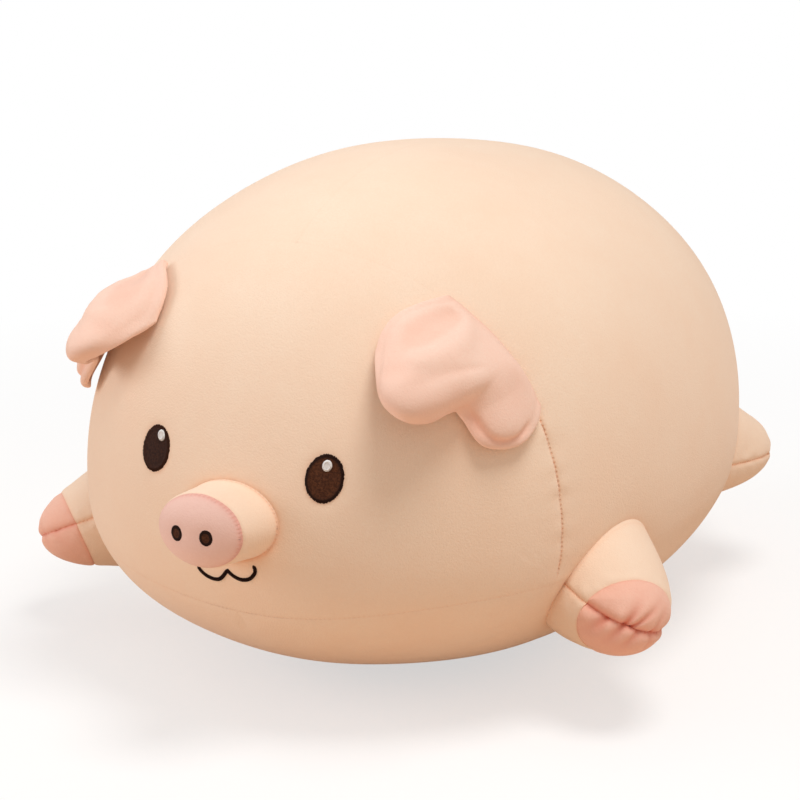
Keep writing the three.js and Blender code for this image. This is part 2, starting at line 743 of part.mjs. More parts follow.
function addEar(name, group, side) {
  const full = (u, v) => Math.sqrt(Math.max(0, Math.sin(Math.PI * u) * Math.sin(Math.PI * v)));
  const hollow = (u, v) => clearance / 2 + (earWadding / 2) * full(u, v);
  const face = (offset) => {
    const layer = earLayer(offset);
    const placed = (u, v) => layer(u, 1 - Math.pow(1 - v, earRowShare));
    return grid(side > 0 ? placed : mirrored(placed), earColumns, earRows);
  };
  const outer = (sign) => face((u, v) => sign * (hollow(u, v) + earPlush));
  const inner = (sign) => face((u, v) => sign * hollow(u, v));
  addPiece(name + "_back", closedSheet(outer(1), inner(1)), earFinish, group);
  addPiece(name + "_front", closedSheet(outer(-1), inner(-1)), earFinish, group);
  const within = (points) => points.slice(1, -1).map((column) => column.slice(1, -1));
  const wadding = (sign) => within(face((u, v) => sign * (hollow(u, v) - clearance)));
  addPiece(name + "_wadding", closedSheet(wadding(1), wadding(-1)), fibreFinish, group);
}

function addEars() {
  for (const [side, name] of [[1, "left_ear"], [-1, "right_ear"]]) {
    const ear = new THREE.Group();
    addEar(name, ear, side);
    const hinge = earHinge.clone().multiply(at(side, 1, 1));
    const axis = earBase.clone().multiply(at(-1, -side, -side));
    ear.userData = { joint: name + "_fold", hinge: hinge.toArray(), axis: axis.toArray() };
    pig.add(ear);
  }
}

// Tail: a stuffed tube that curls once behind the body

const tailSeat = onBody(backSeam(tailPlaceShare));
const tailOut = bodyNormal(tailSeat);
const tailRoot = tailSeat.clone().addScaledVector(tailOut, tailRadius + clearance);
const tailUp = at(0, -tailOut.z, tailOut.y);

function tailPath(share) {
  const curl = tailCurlRadius * smooth(share / tailLeadShare);
  const angle = 2 * Math.PI * tailTurns * share;
  const out = tailLead * smooth(share / tailLeadShare) + tailPitch * share;
  const place = tailRoot.clone().addScaledVector(tailOut, out);
  place.addScaledVector(tailUp, curl * (1 - Math.cos(angle)));
  return place.add(at(curl * Math.sin(angle), 0, 0));
}

// Rings from the ball at the root, along the curl, to the rounded tip.
function tailGrid(inset) {
  const curve = new THREE.CatmullRomCurve3(
    Array.from({ length: tailSteps + 1 }, (unused, k) => tailPath(k / tailSteps)),
  );
  const frames = curve.computeFrenetFrames(tailSteps, false);
  const rings = tailRootAngles.map((angle) => [0, -radians(angle)]);
  for (let k = 0; k <= tailSteps; k += 1) rings.push([k / tailSteps, 0]);
  rings.push(...tailTipAngles.map((angle) => [1, radians(angle)]));
  return grid(
    (u, v) => {
      const [share, angle] = rings[Math.round(v * (rings.length - 1))];
      const step = Math.round(share * tailSteps);
      const radius = mix(tailRadius, tailTipRadius, share) - inset;
      const turn = 2 * Math.PI * u;
      const ring = radius * Math.cos(angle);
      const point = curve.getPointAt(share).addScaledVector(frames.tangents[step], radius * Math.sin(angle));
      point.addScaledVector(frames.normals[step], ring * Math.cos(turn));
      return point.addScaledVector(frames.binormals[step], ring * Math.sin(turn));
    },
    tailSides,
    rings.length - 1,
  );
}

function addTail() {
  const tail = new THREE.Group();
  const cover = closedSheet(tailGrid(0), tailGrid(tailPlush), true);
  addPiece("tail_cover", cover, plushFinish, tail);
  addPiece("tail_stuffing", filled(tailGrid(tailPlush + clearance)), fibreFinish, tail);
  tail.userData = { joint: "tail_sway", hinge: tailRoot.toArray(), axis: tailUp.toArray() };
  pig.add(tail);
}

addBody();
addSnout();
addEyes();
addMouth();
addLegs();
addEars();
addTail();

export default pig;
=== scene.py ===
"""The looks of a plush pig that lies on its belly: sewn covers, a snout, embroidery, legs, ears and a tail.
Metres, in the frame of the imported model. The pig faces -Y and its left side is +X."""

import math

import bmesh
import bpy
import numpy as np
from mathutils import Matrix, Vector
from mathutils.bvhtree import BVHTree
from mathutils.kdtree import KDTree
from numpy import array, clip, concatenate, cos, exp, linspace, maximum, minimum, pi, sin, sqrt
from numpy.linalg import norm


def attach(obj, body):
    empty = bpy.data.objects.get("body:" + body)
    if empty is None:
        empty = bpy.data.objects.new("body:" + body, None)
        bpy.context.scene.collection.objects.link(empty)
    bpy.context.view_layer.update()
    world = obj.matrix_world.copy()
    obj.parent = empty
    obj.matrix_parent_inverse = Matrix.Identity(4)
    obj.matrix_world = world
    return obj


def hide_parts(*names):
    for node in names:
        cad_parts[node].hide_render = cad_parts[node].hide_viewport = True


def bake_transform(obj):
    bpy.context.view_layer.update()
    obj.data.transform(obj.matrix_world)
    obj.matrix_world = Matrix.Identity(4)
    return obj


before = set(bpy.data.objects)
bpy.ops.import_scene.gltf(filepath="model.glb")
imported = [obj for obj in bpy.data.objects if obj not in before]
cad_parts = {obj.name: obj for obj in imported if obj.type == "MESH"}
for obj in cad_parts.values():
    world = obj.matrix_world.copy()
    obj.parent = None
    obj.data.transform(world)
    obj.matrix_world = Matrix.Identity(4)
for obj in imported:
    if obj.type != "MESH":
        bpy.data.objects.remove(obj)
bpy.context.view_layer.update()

# Body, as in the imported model: a stretched ball, measured from the level where it is widest.
FLAT_DEPTH = 0.0005
BODY_HALF_WIDTH = 0.168
BODY_HALF_LENGTH = 0.238
CROWN_RISE = 0.179
BELLY_DROP = 0.1063
END_ROUNDNESS = 2.3
SECTION_ROUNDNESS = 2.14
WIDTH_TAPER = -0.08
CROWN_TAPER = -0.095
LEVEL_TILT = -0.018
WIDEST_LEVEL = BELLY_DROP - FLAT_DEPTH
BELLY_TAPER = LEVEL_TILT * CROWN_RISE / BELLY_DROP
SLOPE_STEP = BODY_HALF_LENGTH * 1e-5
HALVINGS = 40

# Seams of the body, on the unit ball that it is stretched from.
CROWN_SEAM = -0.693
CHEEK_SEAM = -0.609
CHIN_SEAM = -0.275
FLANK_SEAM = -0.19

# Sewing: how many places tell a seam's line, how the seam draws the plush in, and how clearly it shows.
# Each shade tells how far off its seam the painted shade, a warmer tone, reaches, and how deep it is.
SEAM_PLACES = 900
BELT_PLACES = 1600
SEAM_DEPTH = 0.0008
SEAM_WIDTH = 0.0014
SEAM_SHARPNESS = 1.3
SEAM_DIP_DEPTH = 0.0010
SEAM_DIP_WIDTH = 0.011
PUCKER_HEIGHT = 0.0004
PUCKER_LENGTH = 0.010
PUCKER_WIDTH = 0.005
PUCKER_START = 0.001
LONG_PUCKER = 2.6
LONG_PUCKER_SHARE = 0.6
STITCH_LENGTH = 0.0026
HEM_DEPTH = 0.004
SMALL_HEM = 0.003
HEM_ANGLE = 55
SEAM_SHADE = (0.5 * SEAM_WIDTH, 0.5)
FINE_STITCHES = 0.5
CHEEK_STRENGTH = 1.0
CROWN_STRENGTH = 0.06
CHIN_STRENGTH = 0.2
FLANK_STRENGTH = 0.06
CHIN_REACH = 0.75
CHIN_FADE = 0.4
CROWN_FADE = 0.35
CROSS_SEAM_END = 0.03
BACK_STRENGTH = 0.08

# Where the body is drawn in round a piece: how far off and how deep, and its shade. Under it the body sinks.
ROUND_SNOUT = ((0.005, 0.0012), (0.0016, 0.3))
ROUND_LEG = ((0.008, 0.0020), (0.0016, 0.5))
ROUND_EYE = ((0.0022, 0.0005), (0.0009, 0.35))
SUNK_DEPTH = 0.004
SUNK_WIDTH = 0.005

# The body's slow swell, and the cloth that the stuffing fills: the most that a place of it moves, how clear a
# seam is that holds it, for the belt, cross and back seams, and how far the floor and the corners hold it.
SWELL_HEIGHT = 0.0007
SWELL_LENGTH = 0.17
SIMULATED_FRAMES = 20
MOST_MOVED = 0.0018
HELD_STRENGTHS = (0, 0.15, 1)
HELD_WIDTH = 0.001
FLOOR_HOLD = 0.02
CORNER_HOLD = 0.07
CLOTH = {
    "quality": 6, "mass": 0.3, "tension_stiffness": 20, "compression_stiffness": 20, "shear_stiffness": 10,
    "bending_stiffness": 0.4, "use_pressure": True, "uniform_pressure_force": 30, "vertex_group_mass": "sewn",
}

# Snout.
SNOUT_RISE = 0.0202
SNOUT_REACH = 0.027
SNOUT_DOME = 0.008
PAD_HALF_WIDTH = 0.0255
PAD_HALF_HEIGHT = 0.020
SNOUT_BASE_HALF_WIDTH = 0.0295
SNOUT_BASE_HALF_HEIGHT = 0.0218
SNOUT_BASE_DROP = 0.003
SNOUT_WAIST = 0.0008
SNOUT_OVERRUN = 0.006
PAD_ROUNDNESS = 2.5
PAD_EDGE = 0.0018
PAD_EDGE_ROUNDNESS = 14
PAD_SHARE = 0.97
NOSTRIL_HALF_WIDTH = 0.0037
NOSTRIL_HALF_HEIGHT = 0.0044
NOSTRIL_SPACING = 0.0176
NOSTRIL_DENT = 0.0008
NOSTRIL_DENT_WIDTH = 0.0055
PAD_STANDOFF = 0.0005
PAD_OVAL = 1.2
PAD_SHADE = (0.0008, 0.6)
PAD_STITCHES = 0.4
SNOUT_COLUMNS = 240
BAND_ROWS = 60
PAD_ROWS = 70
PAD_ROW_SHARE = 1.6
BAND_ROLL = 0.004
BAND_SWELL = 0.0005
BAND_PUCKER = 0.0002
BAND_PUCKER_LENGTH = 0.012
BAND_SHADE = (0.0009, 0.5)

# Embroidery.
EYE_SPACING = 0.1024
EYE_RISE = 0.0462
EYE_SHIFT = 0.0006
EYE_TILT = 0.0009
EYE_HALF_WIDTH = 0.010
EYE_HALF_HEIGHT = 0.0126
EYE_BORDER = 0.16
GLINT_HALF_WIDTH = 0.0026
GLINT_HALF_HEIGHT = 0.0031
GLINT_PLACES = {1: (0.0008, 0.0067), -1: (0.0038, 0.0076)}
EYE_LEANS = {1: 0.02, -1: 0.11}
STITCH_HEIGHT = 0.0010
STITCH_SUNK = 0.0002
THREAD = 0.00055
PATCH_BORDER = 0.4
PATCH_RINGS = (10, 12)
RAGGED_ENDS = (-0.02, 0.022)
RAGGED_START = 0.85
FILL_LEVEL = 0.72
FILL_DOME = 0.1
THREAD_RIDGE = 0.12
THREAD_NOTCH = 0.07
RIM_REACH = 1.15
RIM_FADE = 0.05
GLINT_HEIGHT = STITCH_HEIGHT * 1.7
NOSTRIL_HEIGHT = STITCH_HEIGHT * 0.7
CAST_DISTANCE = 0.05
MOUTH_RISE = -0.0100
MOUTH_LINE = 0.0023
MOUTH_SHIFT = -0.0013
MOUTH_TIP = 0.0012
MOUTH_STEPS = 240
MOUTH_ROWS = 9
# The mouth's two arcs, in mm from the peak between them.
MOUTH_ARCS = [
    [(-19.2, -0.8), (-17.2, -3.4), (-14.4, -5.3), (-11.4, -6.3), (-8.3, -6.6), (-5.5, -5.9), (-3.2, -4),
     (-1.4, -1.7), (0, 0)],
    [(0, 0), (2.2, -1.8), (4.8, -3.1), (7.7, -3.8), (10.5, -3.6), (13.2, -2.6), (15.4, -0.7), (16.8, 1.4),
     (17, 3.4), (15.6, 5.4)],
]

# Legs: a foot stands off the body's surface, and a root lies below it, each in a direction of the ball.
FRONT_LEG = ((0.834, -0.478, -0.276), 0.027, (0.824, -0.309, -0.474), 0.0326)
HIND_LEG = ((0.742, 0.634, -0.219), 0.0034, (0.804, 0.449, -0.391), 0.0409)
FOOT_RADIUS = 0.027
LEG_ROOT_HALF_WIDTH = 0.042
LEG_ROOT_HALF_HEIGHT = 0.037
LEG_TAPER = 2.0
HOOF_LENGTH = 0.023
HIND_HOOF_LENGTH = 0.018
LEG_NARROWING = 0.18
LEG_RAISING = 0.46
SOLE_DIMPLE = 0.003
DIMPLE_WIDTH = 0.009
LEG_STEPS = 70
HOOF_COLUMNS = 121
SLEEVE_START = 0.12
LEG_NARROWING_SHARE = 1.2
LEG_PUCKER_LENGTH = 0.009
LEG_PUCKER_WIDTH = 0.006
LEG_SEAM_SHARPNESS = 1.4
LEG_SWELL = 0.0004
LEG_SWELL_LENGTH = 0.06
SIDE_SHADE = (0.0009, 0.7)
HOOF_SHADE = (0.0008, 0.35)
ROOT_SHADE = (0.008, 0.2)
HOOF_HEM = 0.0025
# A leg's seams: how deep and wide they are, how puckered, and the seed of their puckers.
SIDE_SEAM = (0.0010, 0.0016, 0.0003, 41)
HOOF_SEAM = (0.0004, 0.0014, 0.0002, 42)
# The sole, from a smooth one to one that is gathered along its seam.
SOLE_SEAM_DEPTHS = (0.0009, 0.0020)
SOLE_SEAM_WIDTH = 0.0020
SOLE_PUCKER = 0.0005
SOLE_PLUMPNESS = (0.0006, 0.0014)
SOLE_SHADES = (0.45, 0.85)
SOLE_SHADE_WIDTH = 0.0014
FOLD_WIDTH = 0.0016
FOLD_WIDENING = 0.12
FOLD_REACH = 0.012
FOLD_DARKEST = 0.0035
# Its folds: where they lie along the seam, how far they slant, and how deep they are.
SOLE_FOLDS = {
    "upper": [(-0.009, 0.2, 0.0028), (-0.005, 0.7, 0.0028), (0.010, 0.2, 0.0012)],
    "lower": [(-0.018, 0.05, 0.0024), (-0.009, 0.0, 0.0022), (0.001, -0.25, 0.0018), (0.010, 0.1, 0.0010)],
}

# Ears.
EAR_TOP_ANGLE = 55
EAR_BOTTOM_ANGLE = 25
EAR_REACH = 0.085
EAR_STANDOFF = 0.020
EAR_SLOPE = 8
EAR_CAMBER = 0.0055
EAR_FOLD_REACH = 0.012
EAR_FOLD_SHARE = 10
EAR_SIDE_HANG_SHARE = 4.5
EAR_ROW_SHARE = 1.9
EAR_ROOT = 0.00205
EAR_TOP_SHARES = [(-1.05, 0.1, 0.16), (-1.13, 0.2, 0.16), (-1.18, 0.31, 0.17), (-1.13, 0.42, 0.19)]
EAR_END_SHARES = [
    (-0.97, 0.53, 0.2), (-0.86, 0.61, 0.45), (-0.68, 0.7, 0.8), (-0.39, 0.81, 1.3), (-0.1, 0.8, 1.3),
    (0.12, 0.68, 0.78), (0.25, 0.48, 0.27), (0.43, 0.45, 0.17), (0.84, 0.465, 0.36), (1.09, 0.35, 0.25),
]
RIGHT_EAR_END_SHARES = [
    (-0.97, 0.53, 0.2), (-0.86, 0.61, 0.5), (-0.68, 0.7, 0.95), (-0.39, 0.79, 1.55), (-0.1, 0.77, 1.6),
    (0.12, 0.66, 1.05), (0.28, 0.54, 0.60), (0.47, 0.50, 0.48), (0.84, 0.475, 0.46), (1.09, 0.38, 0.30),
]
EAR_BOTTOM_SHARES = [(1.12, 0.08, 0.15), (1.19, 0.24, 0.28)]
EAR_RIM = 0.0024
EAR_STITCH_LINE = 0.0062
EAR_STITCH_WIDTH = 0.0022
EAR_FULLNESS = 0.0033
EAR_FULL_WIDTH = 0.018
EAR_GROOVE_DEPTH = 0.0004
EAR_LOBE_GROOVE_DEPTH = 0.0014
EAR_WRINKLE = 0.0003
EAR_WRINKLE_LENGTH = 0.03
EAR_PUCKER = 0.00008
EAR_PUCKER_LENGTH = 0.010
EAR_PUCKER_WIDTH = 0.004
EAR_SHADE_WIDTH = 0.003
EAR_ROOT_SHADE = (0.003, 0.3)
EAR_ROUNDING = 0.003
EAR_ROUNDING_START = 0.004
EAR_COLUMNS = 150
EAR_ROWS = 161
# Where an ear's folded end bulges: along its end, how wide, how sharply, and how much.
EAR_BULGES = [(0.37, 0.2, 4, 1), (0.88, 0.1, 2, 0.3)]
# The lobe beside the fold: where it starts along the ear and out from its root, and how softly.
EAR_LOBE = ((0.72, 0.12), (0.4, 0.2))
EAR_LINE_SHADES = (0.05, 0.4)
EAR_HOLLOW_SHADE = 0.3
EAR_HOLLOW_DEPTH = 0.002
EAR_BLEND = 0.012
# Soft ridges and hollows over an ear: from where to where, how wide, and how high.
EAR_RIDGE = [(0.19, 0.10), (0.32, 0.28), (0.38, 0.48), (0.37, 0.66), (0.30, 0.84)]
EAR_BENDS = [
    ((0.20, 0.15), (0.21, 0.80), 0.085, -0.0032),
    *[(start, stop, 0.06, 0.0018) for start, stop in zip(EAR_RIDGE, EAR_RIDGE[1:])],
    ((0.52, 0.56), (0.38, 0.86), 0.035, -0.0008),
    ((0.36, 0.80), (0.22, 0.95), 0.030, -0.0007),
    ((0.78, 0.30), (0.80, 0.78), 0.080, -0.0006),
]

# Tail.
TAIL_PLACE = 0.8
TAIL_RADIUS = 0.007
TAIL_TIP_RADIUS = 0.0045
TAIL_CURL_RADIUS = 0.014
TAIL_LEAD = 0.008
TAIL_LEAD_SHARE = 0.3
TAIL_PITCH = 0.020
TAIL_TURNS = 1.1
TAIL_STEPS = 160
TAIL_COLUMNS = 56
TAIL_CAP_STEPS = 14
TAIL_STANDOFF = 0.0003
TAIL_SEAM_DEPTH = 0.0009
TAIL_SEAM_WIDTH = 0.0013
TAIL_SHADE_WIDTH = 0.0014
TAIL_WRINKLE = 0.00035
TAIL_WRINKLE_LENGTH = 0.011

# Plush and thread.
PILE = 0.0008
PATCH = 0.05
SPECKLE = 0.0011
STITCH_SHADE = 0.45

# The camera of the photograph.
VIEW_AZIMUTH = 28.14
VIEW_ELEVATION = 15.87
VIEW_DISTANCE = 1.56
VIEW_ACROSS = -0.0228
VIEW_UP = 0.0225
LENS = 117
SENSOR = 36

# Light, and the floor as the camera sees it.
WORLD_LIGHT = 0.48
WORLD_COLOUR = (1, 0.95, 0.91, 1)
FLOOR_COLOUR = (228, 200, 174)
FLOOR_SHOWN = 0.42
FLOOR_GLOW = 0.6
FLOOR_FADE = (0.32, 0.8)
FLOOR_HALF = 6
FLOOR_LEVEL = -0.0002
# The lamps: where each stands, what it points at, its size, its power and its colour.
LAMPS = {
    "key": ((0.6, -0.25, 2.0), (0, 0, 0.15), 0.9, 20, (1, 0.985, 0.96)),
    "left_fill": ((-1.9, -1.2, 0.8), (0, 0, 0.12), 1.2, 14, (0.97, 0.99, 1.04)),
}


def mix(a, b, share):
    return a + (b - a) * share


def smooth(value):
    share = clip(value, 0, 1)
    return share * share * (3 - 2 * share)


def place(x, y, z):
    return np.stack(np.broadcast_arrays(x, y, z), axis=-1).astype(float)


def unit(vectors):
    return vectors / maximum(norm(vectors, axis=-1, keepdims=True), 1e-12)


def signed_power(value, power):
    return np.sign(value) * np.abs(value) ** power


def hump(distance, width, power=2):
    return exp(-((distance / width) ** power))


def fade(distance, width, most=1):
    return most * exp(-distance / width)


def given(thing, values):
    for key, value in values.items():
        setattr(thing, key, value)
    return thing


def linked(name, data):
    made = bpy.data.objects.new(name, data)
    bpy.context.scene.collection.objects.link(made)
    return made


def shares(columns, rows):
    """Places over a patch, as a column of u and a row of v made as wide as each other."""
    return np.broadcast_arrays(columns[:, None], rows[None, :])


def ripple(places, wavelength, seed, waves=16):
    """Smooth noise of about unit height, the same for the same places on each run."""
    draw = np.random.default_rng(seed)
    directions = unit(draw.normal(size=(waves, 3)))
    lengths = wavelength * draw.uniform(0.7, 1.5, waves)
    phases = draw.uniform(0, 2 * pi, waves)
    total = np.zeros(places.shape[:-1])
    for direction, length, phase in zip(directions, lengths, phases):
        total += sin(places @ direction * (2 * pi / length) + phase)
    return total / sqrt(waves / 2)


# The body's surface

def body_section(share):
    end = clip(1 - np.abs(share) ** END_ROUNDNESS, 0, 1)
    return (
        end ** (1 / END_ROUNDNESS),
        BODY_HALF_WIDTH * (1 + WIDTH_TAPER * share),
        CROWN_RISE * (1 + CROWN_TAPER * share),
        BELLY_DROP * (1 + BELLY_TAPER * share),
        WIDEST_LEVEL + LEVEL_TILT * share * CROWN_RISE,
    )


def body_measure(points):
    """Negative inside the body, and positive outside."""
    share = points[..., 1] / BODY_HALF_LENGTH
    _, width, crown, belly, level = body_section(share)
    rise = points[..., 2] - level
    across = np.abs(points[..., 0] / width) ** SECTION_ROUNDNESS
    up = np.abs(rise / np.where(rise >= 0, crown, belly)) ** SECTION_ROUNDNESS
    section = (across + up) ** (END_ROUNDNESS / SECTION_ROUNDNESS)
    return section + np.abs(share) ** END_ROUNDNESS - 1


def body_normal(points):
    steps = np.eye(3) * SLOPE_STEP
    slopes = [body_measure(points + step) - body_measure(points - step) for step in steps]
    return unit(np.stack(slopes, axis=-1))


def on_body(ball, outward=0.0):
    """The body's surface where a direction from the middle of the ball meets it."""
    ball = unit(np.asarray(ball, float))
    rounding, width, crown, belly, level = body_section(ball[..., 1])
    ring = maximum(np.hypot(ball[..., 0], ball[..., 2]), 1e-12)
    x = width * rounding * signed_power(ball[..., 0] / ring, 2 / SECTION_ROUNDNESS)
    drop = np.where(ball[..., 2] >= 0, crown, belly)
    z = drop * rounding * signed_power(ball[..., 2] / ring, 2 / SECTION_ROUNDNESS)
    points = place(x, BODY_HALF_LENGTH * ball[..., 1], level + z)
    return points + body_normal(points) * np.asarray(outward)[..., None]


def crossing(inside, outside, place_of):
    """Halves the way from values whose places are inside the body to ones whose places are outside it."""
    near, far = np.broadcast_arrays(np.asarray(inside, float), np.asarray(outside, float))
    near, far = near.copy(), far.copy()
    for _ in range(HALVINGS):
        halfway = (near + far) / 2
        within = body_measure(place_of(halfway)) < 0
        near = np.where(within, halfway, near)
        far = np.where(within, far, halfway)
    return near


def body_front(x, z):
    x, z = np.broadcast_arrays(x, z)
    return crossing(np.zeros(x.shape), -2 * BODY_HALF_LENGTH, lambda y: place(x, y, z))


def catmull(points, share):
    """A centripetal Catmull-Rom curve through a list of places."""
    points = concatenate([[2 * points[0] - points[1]], points, [2 * points[-1] - points[-2]]])
    spot = clip(share, 0, 1) * (len(points) - 3)
    first = minimum(spot.astype(int), len(points) - 4)
    t = (spot - first)[..., None]
    p0, p1, p2, p3 = (points[first + k] for k in range(4))
    pairs = ((p0, p1), (p1, p2), (p2, p3))
    d0, d1, d2 = (norm(b - a, axis=-1, keepdims=True) ** 0.5 for a, b in pairs)
    m1 = ((p1 - p0) / d0 - (p2 - p0) / (d0 + d1) + (p2 - p1) / d1) * d1
    m2 = ((p2 - p1) / d1 - (p3 - p1) / (d1 + d2) + (p3 - p2) / d2) * d1
    return (p1 + m1 * t + (-3 * p1 + 3 * p2 - 2 * m1 - m2) * t ** 2 + (2 * p1 - 2 * p2 + m1 + m2) * t ** 3)


# Seams, as directions of the unit ball

def on_ball(angle, y):
    ring = sqrt(clip(1 - y * y, 0, 1))
    return place(cos(angle) * ring, y, sin(angle) * ring)


FLANK_RING = sqrt(1 - FLANK_SEAM ** 2)
CORNER_PLAN = np.arccos(-CHEEK_SEAM / FLANK_RING)


def belt_seam(plan):
    chin = cos(minimum(1, np.abs(plan) / CORNER_PLAN) * pi / 2)
    level = mix(FLANK_SEAM, CHIN_SEAM, chin * chin)
    ring = sqrt(1 - level * level)
    return place(sin(plan) * ring, -cos(plan) * ring, level)


CORNER = belt_seam(CORNER_PLAN)
CORNER_ANGLE = np.arctan2(CORNER[2], CORNER[0])


def cross_seam(angle):
    up = maximum(0, sin(angle))
    return on_ball(angle, mix(CHEEK_SEAM, CROWN_SEAM, up * up))


def cross_seam_along(share):
    return cross_seam(mix(CORNER_ANGLE, pi - CORNER_ANGLE, share))


def back_seam(share):
    start = cross_seam(pi / 2)
    angle = mix(np.arctan2(start[2], start[1]), np.arctan2(FLANK_SEAM, FLANK_RING), share)
    return place(0, cos(angle), sin(angle))


def between(a, b, share):
    """Along the great circle from one direction to another."""
    a, b, share = np.broadcast_arrays(a, b, np.asarray(share)[..., None])
    angle = np.arccos(clip((a * b).sum(-1, keepdims=True), -1, 1))
    safe = maximum(angle, 1e-5)
    return unit((a * sin(safe * (1 - share)) + b * sin(safe * share)) / sin(safe))


def face_place(u, v):
    return between(belt_seam(CORNER_PLAN * (1 - 2 * u)), cross_seam_along(u), v)


def left_side_place(u, v):
    straight = between(belt_seam(mix(CORNER_PLAN, pi, u)), back_seam(u), v)
    front = between(CORNER, back_seam(0), v)
    bow = cross_seam_along(v / 2) - front
    return unit(straight + bow * ((1 - u) ** 2)[..., None])


def right_side_place(u, v):
    return left_side_place(u, v) * (-1, 1, 1)


def belly_place(u, v):
    """Half of the columns lie under the face, and half between the side panels."""
    plan = np.where(u < 0.5, CORNER_PLAN * 2 * u, mix(CORNER_PLAN, pi, 2 * u - 1))
    rim = belt_seam(plan)
    angle = np.arctan2(rim[..., 2], rim[..., 0])
    return on_ball(mix(angle, -pi - angle, v), rim[..., 1])


# Meshes

def add_mesh(name, points, faces, material, values=None, flat=False):
    """A mesh object with one value of each name for each point. Points that coincide become one."""
    data = bpy.data.meshes.new(name)
    data.from_pydata(np.asarray(points).reshape(-1, 3).tolist(), [], faces)
    for key, numbers in (values or {}).items():
        attribute = data.attributes.new(key, "FLOAT", "POINT")
        attribute.data.foreach_set("value", np.asarray(numbers, np.float32).ravel())
    work = bmesh.new()
    work.from_mesh(data)
    bmesh.ops.remove_doubles(work, verts=work.verts, dist=1e-6)
    bmesh.ops.dissolve_degenerate(work, edges=work.edges, dist=1e-7)
    work.to_mesh(data)
    work.free()
    data.update()
    if not flat:
        data.shade_smooth()
    data.materials.append(material)
    return linked(name, data)


def grid_faces(columns, rows, closed=False, turned=False):
    """Quads over a grid of columns x rows points. A closed grid joins its last column to its first."""
    i = np.arange(columns if closed else columns - 1)
    j = np.arange(rows - 1)
    a, b = np.meshgrid(i, j, indexing="ij")
    c = (a + 1) % columns
    quads = np.stack([a * rows + b, c * rows + b, c * rows + b + 1, a * rows + b + 1], axis=-1).reshape(-1, 4)
    return (quads[:, ::-1] if turned else quads).tolist()


def dense_at_ends(count, share=0.5):
    """Places from 0 to 1 that lie closer together near both ends."""
    even = linspace(0, 1, count + 1)
    return mix(even, (1 - cos(pi * even)) / 2, share)


def faces_in(points, inward):
    """Whether a grid's faces point the way that inward tells, unless they are turned."""
    across = np.cross(np.diff(points, axis=0)[:, :-1], np.diff(points, axis=1)[:-1])
    return float((across * inward[:-1, :-1]).sum()) > 0


def cover(name, points, inward, material, values, closed=False, hem=HEM_DEPTH):
    """A sewn panel: a grid of places whose open edges are turned under, into the seam."""
    columns, rows = points.shape[:2]
    turned = faces_in(points, inward)
    faces = grid_faces(columns, rows, closed, turned)
    index = np.arange(columns * rows).reshape(columns, rows)
    if closed:
        loops = [index[:, 0], index[::-1, -1]]
    else:
        loops = [concatenate([index[:-1, 0], index[-1, :-1], index[:0:-1, -1], index[0, :0:-1]])]
    flat = points.reshape(-1, 3)
    ways = inward.reshape(-1, 3)
    parts, sources = [flat], [np.arange(len(flat))]
    for loop in loops:
        under = sum(len(part) for part in parts) + np.arange(len(loop))
        walls = np.stack([np.roll(loop, -1), loop, under, np.roll(under, -1)], axis=-1)
        faces += (walls[:, ::-1] if turned else walls).tolist()
        parts.append(flat[loop] + ways[loop] * hem)
        sources.append(loop)
    places = concatenate(parts)
    places[:, 2] = maximum(places[:, 2], 0)
    source = concatenate(sources)
    values = {key: np.broadcast_to(each, (columns, rows)).ravel()[source] for key, each in values.items()}
    made = add_mesh(name, places, faces, material, values)
    made.data.set_sharp_from_angle(angle=np.radians(HEM_ANGLE))
    return made


def dress(made, nodes, bent=None):
    """Sews a piece on to the body, or bakes its place in if it bends, and hides the CAD nodes it stands for.
    """
    if bent:
        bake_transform(made)
    else:
        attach(made, "body")
    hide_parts(*nodes)
    return made


# Materials

def linear(red, green, blue):
    """A colour as it looks on screen, 0 to 255, as a linear colour."""
    screen = array([red, green, blue]) / 255
    return (*np.where(screen <= 0.04045, screen / 12.92, ((screen + 0.055) / 1.055) ** 2.4), 1)


